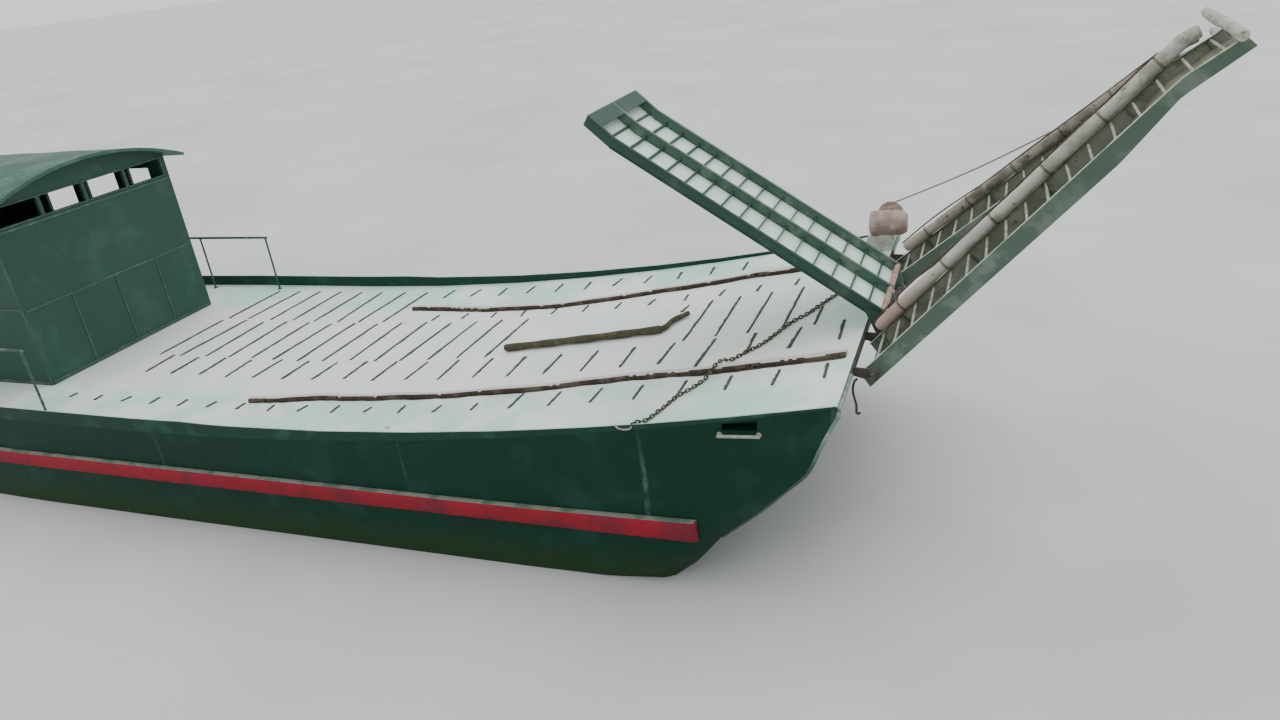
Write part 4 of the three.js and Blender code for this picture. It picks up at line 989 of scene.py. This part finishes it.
HOUSING = np.array([-0.045, 1.830, 1.165])
CHEEK = np.vstack([[(-0.330, 0.850), (-0.024, 0.880)],
                   arc((WINCH_AT[0], WINCH_AT[2] + 0.004), 0.064, 0.062, -5, 185, 12)])
shapes = [on_deck(-0.360, -0.010, 1.690, 2.390, BASE_THICK),
          on_deck(-0.300, -0.020, 1.755, 1.905, 0.19)]
for y in (-0.150, 0.150):
    shapes.append(prism(CHEEK, WINCH_AT[1] + y - 0.0095, WINCH_AT[1] + y + 0.0095))
    for x in (-0.27, -0.07):
        top = float(deck_height(x)) + BASE_THICK
        shapes.append(bar((x, WINCH_AT[1] + y * 1.25, top), (x, WINCH_AT[1] + y * 1.25, top + 0.014),
                          0.016, 6))
build("winch_cheeks", shapes, base_pale, "boat", ["winch_frame"], bevel=0.0025)
housing_r, housing_t = np.array([
    (0.118, -0.2245), (0.136, -0.216), (0.148, -0.196), (0.151, -0.150), (0.1545, -0.146),
    (0.1545, -0.118), (0.151, -0.114), (0.1525, 0.060), (0.1545, 0.064), (0.1545, 0.092),
    (0.151, 0.096), (0.150, 0.140), (0.140, 0.176), (0.118, 0.204), (0.086, 0.2185)]).T
a = np.arange(40) / 40 * 2 * math.pi
dent = 1 - 0.012 * (0.5 + 0.5 * np.sin(3 * a + 9 * housing_t[:, None])) ** 3
size = housing_r[:, None] * dent
shapes = [skin(HOUSING + rings_at(housing_t, size * np.cos(a), size * np.sin(a)))]
for a in np.radians(np.arange(30, 390, 60)):
    at = HOUSING + [0.196, 0.106 * math.cos(a), 0.106 * math.sin(a)]
    shapes.append(bar(at, at + [0.020, 0, 0], 0.011, 6))
build("winch_gear_housing", shapes, drum_rust_and_shade, "boat", angle=40)
flange = [(0.03, -0.0105), (0.152, -0.0105), (0.1595, -0.006), (0.1595, 0.006), (0.152, 0.0105),
          (0.03, 0.0105)]
shapes = [bar(WINCH_AT + [0, -0.178, 0], WINCH_AT + [0, 0.178, 0], 0.0295, 24)]
for y in (-0.116, 0.116):
    shapes.append(turned_ring(flange, WINCH_AT + [0, y, 0], 1))
build("winch_drum_barrel", shapes, drum_rust_and_shade, "winch_drum_body", ["winch_drum"], angle=40)
ROPE_TURNS = 10
STEPS_A_TURN = 24
angle_run = np.arange(ROPE_TURNS * STEPS_A_TURN + 1) / STEPS_A_TURN * 2 * math.pi
radius_run = 0.1235 + 0.0014 * np.sin(angle_run * 0.37)
winding = np.column_stack([radius_run * np.cos(angle_run),
                           -0.096 + 0.192 * angle_run / angle_run[-1],
                           radius_run * np.sin(angle_run)]) + WINCH_AT
wound_rope = bar(WINCH_AT + [0, -0.108, 0], WINCH_AT + [0, 0.108, 0], 0.119, 32)
build("winch_rope_turns", [tube(winding, 0.0105, 8), wound_rope], rope_old, "winch_drum_body", angle=60)

# Hoist rope: three-strand fibre rope drawn tight from the drum to the port ramp's port beam. It
# lies along the part's own rope. Its first sixth is blended, from the boat to the ramp, so that
# the rest turns with the ramp.
rope_mesh = nodes["hoist_rope"].data
rope_points = np.zeros(len(rope_mesh.vertices) * 3)
rope_mesh.vertices.foreach_get("co", rope_points)
rope_points = rope_points.reshape(-1, 3) - SHIFT
NEAR_ROPE = 0.03
rope_x = np.linspace(rope_points[:, 0].min(), rope_points[:, 0].max(), 13)
rope_middles = [rope_points[np.abs(rope_points[:, 0] - x) < NEAR_ROPE].mean(0) for x in rope_x]
rope_line = smooth_line(rope_middles, 320)


def strands(k, a):
    """Three strands: radius 0.9 + 0.14 |cos(1.5 (a - 0.55 k))|."""
    return 0.9 + 0.14 * np.abs(np.cos(1.5 * (a - 0.55 * k)))


hoist = build("hoist_rope_laid", [tube(rope_line, 0.0088, 12, uneven=strands)], rope_old, None,
              ["hoist_rope"], angle=70)
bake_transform(hoist)

# Mooring bars: round steel bars along the lower lips of the two pockets, each on two feet with
# a round pad, welded to the hull, their paint worn off along the top.
PLATING_Y = 2.4403
for name, side in (("starboard", -1), ("port", 1)):
    rail_y = side * (PLATING_Y + 0.040)
    shapes = [bar((-1.070, rail_y, 0.534), (-0.670, rail_y, 0.556), 0.0158, 16)]
    for x, z in ((-1.050, 0.5351), (-0.690, 0.5549)):
        for reach, radius, sides in ((0.0415, 0.0118, 12), (0.0065, 0.026, 20)):
            shapes.append(bar((x, side * (PLATING_Y + 0.0005), z), (x, side * (PLATING_Y + reach), z),
                              radius, sides))
    build(name + "_mooring_rail", shapes, staple_pale, "boat", [name + "_mooring_bar"], angle=50)

# Pole: a weathered wooden pole with a crooked root end, lying loose on the deck. The shaft
# and the crook are two lengths that grow into each other.
pole_wood = weathered("pole_wood", (BOW_X - 3.3, 0, 1.9), tone(72, 70, 48), tone(96, 92, 66),
                      tone(46, 41, 30), grain=10, cover=0.45, stain_at=0.6, rough=0.85, bump=0.5)
SHAFT_PLAN = [(-4.46, -0.21), (-3.9, -0.16), (-3.4, -0.11), (-2.42, -0.05)]
CROOK_PLAN = [(-2.47, -0.06), (-2.40, 0.03), (-2.37, 0.21), (-2.27, 0.35), (-2.225, 0.41)]


def bark(k, a):
    """Ridges of 3 % sin(6 a + 0.2 k) that come and go with sin(0.13 k)."""
    return 1 + 0.03 * np.sin(6 * a + 0.2 * k) * np.sin(0.13 * k)


shapes = []
for plan, radius, lift, count in ((SHAFT_PLAN, 0.0475, 0.0503, 90), (CROOK_PLAN, 0.034, 0.0418, 40)):
    flat_line = smooth_line(plan, count)
    line = np.column_stack([flat_line, deck_height(flat_line[:, 0]) + lift])
    size = radius * 0.94 * (1 + 0.06 * np.sin(np.arange(count) * 0.31))
    size[[0, -1]] *= 0.8
    shapes.append(tube(line, size, 22, uneven=bark))
build("wooden_pole", shapes, pole_wood, "boat", ["boat_pole"], angle=60)

# Cabin walls: sheet steel on a light frame, the end walls arched like the roof. Angle-bar
# frames stand out round the windows and the door, flat bars cover the corner welds, and a
# rail runs under the front windows. Dark green, thinned by sun.
FRONT = -10.8997
AFT = -14.9003
SIDE = 1.5003
FRONT_WINDOWS = ((-1.40, -0.74), (-0.69, -0.025), (0.025, 0.69), (0.74, 1.40))
SIDE_WINDOWS = ((-11.70, -11.25), (-12.70, -12.00), (-13.70, -13.00))
FRONT_SILL_AND_HEAD = (2.20, 2.45)
SIDE_SILL_AND_HEAD = (1.65, 2.30)
DOORWAY = (-1.08, -0.34, 0.12, 2.00)


def recoat(names, coat):
    """Gives the part's own nodes of these names the one finish."""
    for name in names:
        nodes[name].data.materials.clear()
        nodes[name].data.materials.append(coat)


def bar_frame(u0, u1, v0, v1, wide, place, depth):
    """A mitred frame round an opening: a ring across the bar at each corner, made a loop.

    Each ring is a rectangle, from the opening's edge to wide outside it and from the wall to
    depth in front of it. place(u, v, d) gives the point at u, v in the wall and d before it.
    """
    out = wide * np.array([0, 0, 1, 1])
    u = np.array([[u0], [u1], [u1], [u0]]) + np.array([[-1], [1], [1], [-1]]) * out
    v = np.array([[v0], [v0], [v1], [v1]]) + np.array([[-1], [-1], [1], [1]]) * out
    rings = np.broadcast_arrays(*place(u, v, depth * np.array([0, 1, 1, 0])))
    return skin(np.stack(rings, -1), loop=True)


cabin_green = weathered("cabin_green", (BOW_X - 12.9, 0, 2.8), tone(44, 76, 66),
                        tone(54, 86, 74), tone(84, 74, 58), grain=1.6, cover=0.3, stain_at=0.73,
                        streak=0.25, rough=0.5, bump=0.2, shine=0.25)
cabin_trim = weathered("cabin_trim", (BOW_X - 12.9, 0, 2.8), tone(50, 82, 71), tone(72, 100, 88),
                       tone(92, 74, 58), grain=6, cover=0.4, stain_at=0.66, rough=0.55, bump=0.25)
recoat(["cabin_front_wall", "cabin_port_wall", "cabin_starboard_wall", "cabin_aft_wall"], cabin_green)
shapes = []
for y0, y1 in FRONT_WINDOWS:
    shapes.append(bar_frame(y0, y1, *FRONT_SILL_AND_HEAD, 0.022,
                            lambda u, v, d: (FRONT + d, u, v), 0.010))
for side in (-1, 1):
    for x0, x1 in SIDE_WINDOWS:
        shapes.append(bar_frame(x0, x1, *SIDE_SILL_AND_HEAD, 0.028,
                                lambda u, v, d, s=side: (u, s * (SIDE + d), v), 0.012))
    for x0, x1 in ((-10.935, -10.90), (-14.90, -14.865)):
        shapes.append(block(x0, x1, side * SIDE, side * (SIDE + 0.005), 0.002, 2.49))
    for deep, z0, z1 in ((0.012, 0.004, 0.054), (0.008, 1.10, 1.13)):
        shapes.append(block(-14.86, -10.94, side * SIDE, side * (SIDE + deep), z0, z1))
shapes.append(bar_frame(*DOORWAY, 0.026, lambda u, v, d: (AFT - d, u, v), 0.006))
for deep, z0, z1 in ((0.0137, 2.120, 2.160), (0.0117, 0.004, 0.060), (0.0077, 1.06, 1.09)):
    shapes.append(block(FRONT, FRONT + deep, -1.48, 1.48, z0, z1))
for y in (-0.75, 0.0, 0.75):
    shapes.append(block(FRONT, FRONT + 0.0077, y - 0.012, y + 0.012, 0.07, 1.055))
build("cabin_frames", shapes, cabin_trim, "boat", bevel=0.002)

# Cabin roof: one steel sheet bent over the arch in 0.3 m flats, its edge turned down, with seams
# welded across and rust where rain stands along them.
roof_green = weathered("roof_green", (BOW_X - 12.9, 0, 4.2), tone(60, 92, 82), tone(82, 112, 100),
                       tone(112, 92, 72), grain=1.4, cover=0.45, stain_at=0.68, rough=0.6, bump=0.25,
                       shine=0.25)
recoat(["cabin_roof"], roof_green)
ROOF_SPRING = 2.5453
ARCH_RISE = 0.28
SEAMS_AT = (-14.0, -12.9, -11.8)
arch_y = np.array([-1.68, -1.5, -1.2, -0.9, -0.6, -0.3, 0, 0.3, 0.6, 0.9, 1.2, 1.5, 1.68])[:, None]
arch_z = ROOF_SPRING + ARCH_RISE * (1 - (arch_y / 1.5) ** 2)
seam_x = np.array([-0.020, 0.020, 0.014, -0.014])
seam_z = np.array([0.0003, 0.0003, 0.0045, 0.0045])
shapes = [skin(np.stack(np.broadcast_arrays(x + seam_x, arch_y, arch_z + seam_z), -1))
          for x in SEAMS_AT]
build("cabin_roof_seams", shapes, roof_green, "boat", angle=20)

# Cabin door: one steel sheet with an edge of angle bar, a pull handle and two lift-off
# hinges whose pins are on the aft wall.
door_green = weathered("door_green", (BOW_X - 14.9, -0.7, 2.5), tone(52, 86, 72), tone(70, 100, 86),
                       tone(100, 78, 58), grain=3, cover=0.4, stain_at=0.68, streak=0.3, rough=0.5,
                       bump=0.25, shine=0.25)
recoat(["cabin_door"], door_green)
DOOR_FACE = -14.9443
DOOR_SHEET = (-1.05, -0.35, 0.20, 1.98)
door_edge = bar_frame(*DOOR_SHEET, -0.030, lambda u, v, d: (DOOR_FACE - d, u, v), 0.006)
stays = [block(DOOR_FACE - 0.006, DOOR_FACE, -1.02, -0.38, z - 0.015, z + 0.015)
         for z in (0.75, 1.40)]
build("door_edge_bars", [door_edge] + stays, door_green, "door", bevel=0.0015)

# Helm stand: a wooden-topped steel post with a spoked wheel, bolted to the cabin's floor. The
# engine stands behind it as one block, grey with oil and dust.
helm_brown = weathered("helm_brown", (BOW_X - 11.4, 0, 2.2), tone(122, 92, 64), tone(96, 72, 50),
                       tone(60, 46, 34), grain=9, stain_at=0.6, rough=0.7, bump=0.3)
recoat(["helm_stand"], helm_brown)
engine_grey = weathered("engine_grey", (BOW_X - 12.9, 0, 2.0), tone(84, 94, 90), tone(62, 66, 62),
                        tone(48, 40, 34), grain=4, stain_at=0.58, rough=0.6, metal=0.2, bump=0.3)
recoat(["engine_block"], engine_grey)

# Exhaust stack: a steel pipe through the roof with a flange welded round its foot, rusted all
# over by heat and rain.
stack_rust = weathered("stack_rust", (BOW_X - 14.3, 0.9, 4.6), tone(112, 82, 64), tone(92, 62, 46),
                       tone(58, 44, 38), grain=8, stain_at=0.55, rough=0.85, metal=0.15, bump=0.4)
recoat(["exhaust_stack"], stack_rust)

# Handrails: 40 mm steel pipe beside the cabin on four welded posts, each on a small foot plate
# with a collar under the rail. Green paint, thin on top.
rail_green = weathered("rail_green", (BOW_X - 12.4, 0, 2.0), tone(48, 80, 70), tone(96, 116, 102),
                       tone(112, 80, 60), grain=9, cover=0.45, stain_at=0.6, rough=0.5, bump=0.3)
RAIL_HEIGHT = 0.9
POSTS_AT = (-14.6, -12.8, -11.5, -10.1)
for name, side in (("starboard", -1), ("port", 1)):
    line = smooth_line([(-14.8, side * 2.18, RAIL_HEIGHT), (-12.4, side * 2.25, RAIL_HEIGHT),
                        (-10.06, side * 2.25, RAIL_HEIGHT)], 60)
    size = np.full(60, 0.0195)
    size[[0, -1]] = 0.015
    shapes = [tube(line, size, 16)]
    for x in POSTS_AT:
        y = side * (2.25 - max(0.0, -12.4 - x) * 0.029)
        shapes.append(bar((x, y, 0.0005), (x, y, RAIL_HEIGHT - 0.005), 0.0155, 14))
        shapes.append(block(x - 0.035, x + 0.035, y - 0.035, y + 0.035, 0.0008, 0.0068))
        shapes.append(bar((x, y, RAIL_HEIGHT - 0.032), (x, y, RAIL_HEIGHT - 0.016), 0.0185, 14))
    build(name + "_rail_pipes", shapes, rail_green, "boat", [name + "_handrail"], angle=50)

# Aft hatch: a low steel coaming welded to the deck and a flat lid on two loose hinges, with
# two flat bars and an edge frame that stiffen it.
recoat(["aft_hatch_coaming", "aft_hatch_lid"], cabin_trim)
LID_TOP = 0.1363
LID = (-16.10, -15.40, 0.70, 1.50)
lid_bars = [block(-16.08, -15.42, y - 0.012, y + 0.012, LID_TOP, LID_TOP + 0.006) for y in (0.9, 1.3)]
lid_bars.append(bar_frame(*LID, -0.020, lambda u, v, d: (u, v, LID_TOP + d), 0.005))
build("hatch_lid_bars", lid_bars, cabin_trim, "hatch_lid", bevel=0.0015)

# Stern gear: a steel tube and strut under the rake carry the shaft; a bronze propeller of
# three cast blades, each a twisted section thinning towards its round tip.
stern_steel = weathered("stern_steel", (BOW_X - 14.2, 0, 0.4), tone(96, 100, 92), tone(120, 112, 96),
                        tone(90, 62, 46), grain=8, stain_at=0.55, rough=0.75, metal=0.3, bump=0.4)
recoat(["stern_tube", "shaft_strut"], stern_steel)
bronze = weathered("bronze", (BOW_X - 15.1, 0, 0.4), tone(158, 128, 78), tone(122, 112, 82),
                   tone(84, 96, 78), grain=10, stain_at=0.58, rough=0.45, metal=0.7, bump=0.2)
SHAFT_Z = -1.1
BLADES_AT = -15.1
BLADE_ROOT = 0.045
BLADE_TIP = 0.268
hub_x, hub_r = np.array([(-15.185, 0.030), (-15.178, 0.044), (-15.160, 0.056), (-15.100, 0.0597),
                         (-15.040, 0.057), (-15.022, 0.050)]).T
a = np.arange(28) / 28 * 2 * math.pi
hub = rings_at(hub_x, hub_r[:, None] * np.cos(a), SHAFT_Z + hub_r[:, None] * np.sin(a))
shapes = [skin(hub), bar((-15.17, 0, SHAFT_Z), (-13.40, 0, SHAFT_Z), 0.0248, 20),
          bar((-15.205, 0, SHAFT_Z), (-15.17, 0, SHAFT_Z), 0.026, 6)]


def blade():
    """One upright blade: an ellipse of chord and thickness at each radius, set to the pitch.

    The chord swells from 60 mm by 45 mm sin(1.12 pi t), and beyond t = 0.7 it closes as a
    circle does; the thickness falls from 7.8 mm to 30 % of that; the pitch is atan(0.062 / r)
    and 0.15 radian more. t goes from 0 at the root to 1 at the tip.
    """
    r = np.linspace(BLADE_ROOT, BLADE_TIP, 15)[:, None]
    t = (r - BLADE_ROOT) / (BLADE_TIP - BLADE_ROOT)
    swell = 0.060 + 0.045 * np.sin(math.pi * np.minimum(1, t * 1.12))
    tip = 0.104 * np.sqrt(np.maximum(0.02, 1 - ((t - 0.55) / 0.455) ** 2))
    a = np.arange(18) / 18 * 2 * math.pi
    u = np.where(t < 0.7, swell, tip) * np.cos(a)
    w = 0.0078 * (1 - 0.7 * t) * np.sin(a)
    pitch = np.arctan(0.062 / r) + 0.15
    return skin(np.stack(np.broadcast_arrays(w * np.cos(pitch) - u * np.sin(pitch),
                                             u * np.cos(pitch) + w * np.sin(pitch), r), -1))


blade_points, blade_faces = blade()
for a in np.radians([0, 120, 240]):
    x, y, z = blade_points.T
    shapes.append((np.column_stack([x + BLADES_AT, y * math.cos(a) - z * math.sin(a),
                                    y * math.sin(a) + z * math.cos(a) + SHAFT_Z]), blade_faces))
build("propeller_cast", shapes, bronze, "propeller_body", ["propeller"], angle=50)

# Rudder: a flat steel plate with two stiffening bars welded across on a round stock, and a
# flat bar tiller on a clamp at the head, held by two bolts.
rudder_green = weathered("rudder_green", (BOW_X - 16, 0, 0.6), tone(36, 62, 50), tone(72, 84, 66),
                         tone(92, 66, 50), grain=5, cover=0.5, stain_at=0.58, rough=0.7, bump=0.35)
recoat(["rudder"], rudder_green)
recoat(["tiller"], stern_steel)
shapes = [block(-16.33, -15.79, y, y + 0.008, z - 0.02, z + 0.02)
          for z in (-1.25, -0.86) for y in (-0.0283, 0.0203)]
build("rudder_bars", shapes, rudder_green, "rudder_body", bevel=0.002)
STOCK_X = -15.78
shapes = [bar((STOCK_X, side * 0.060, 0.185), (STOCK_X, side * 0.078, 0.185), 0.012, 6)
          for side in (-1, 1)]
build("tiller_bolts", shapes, stern_steel, "rudder_body")
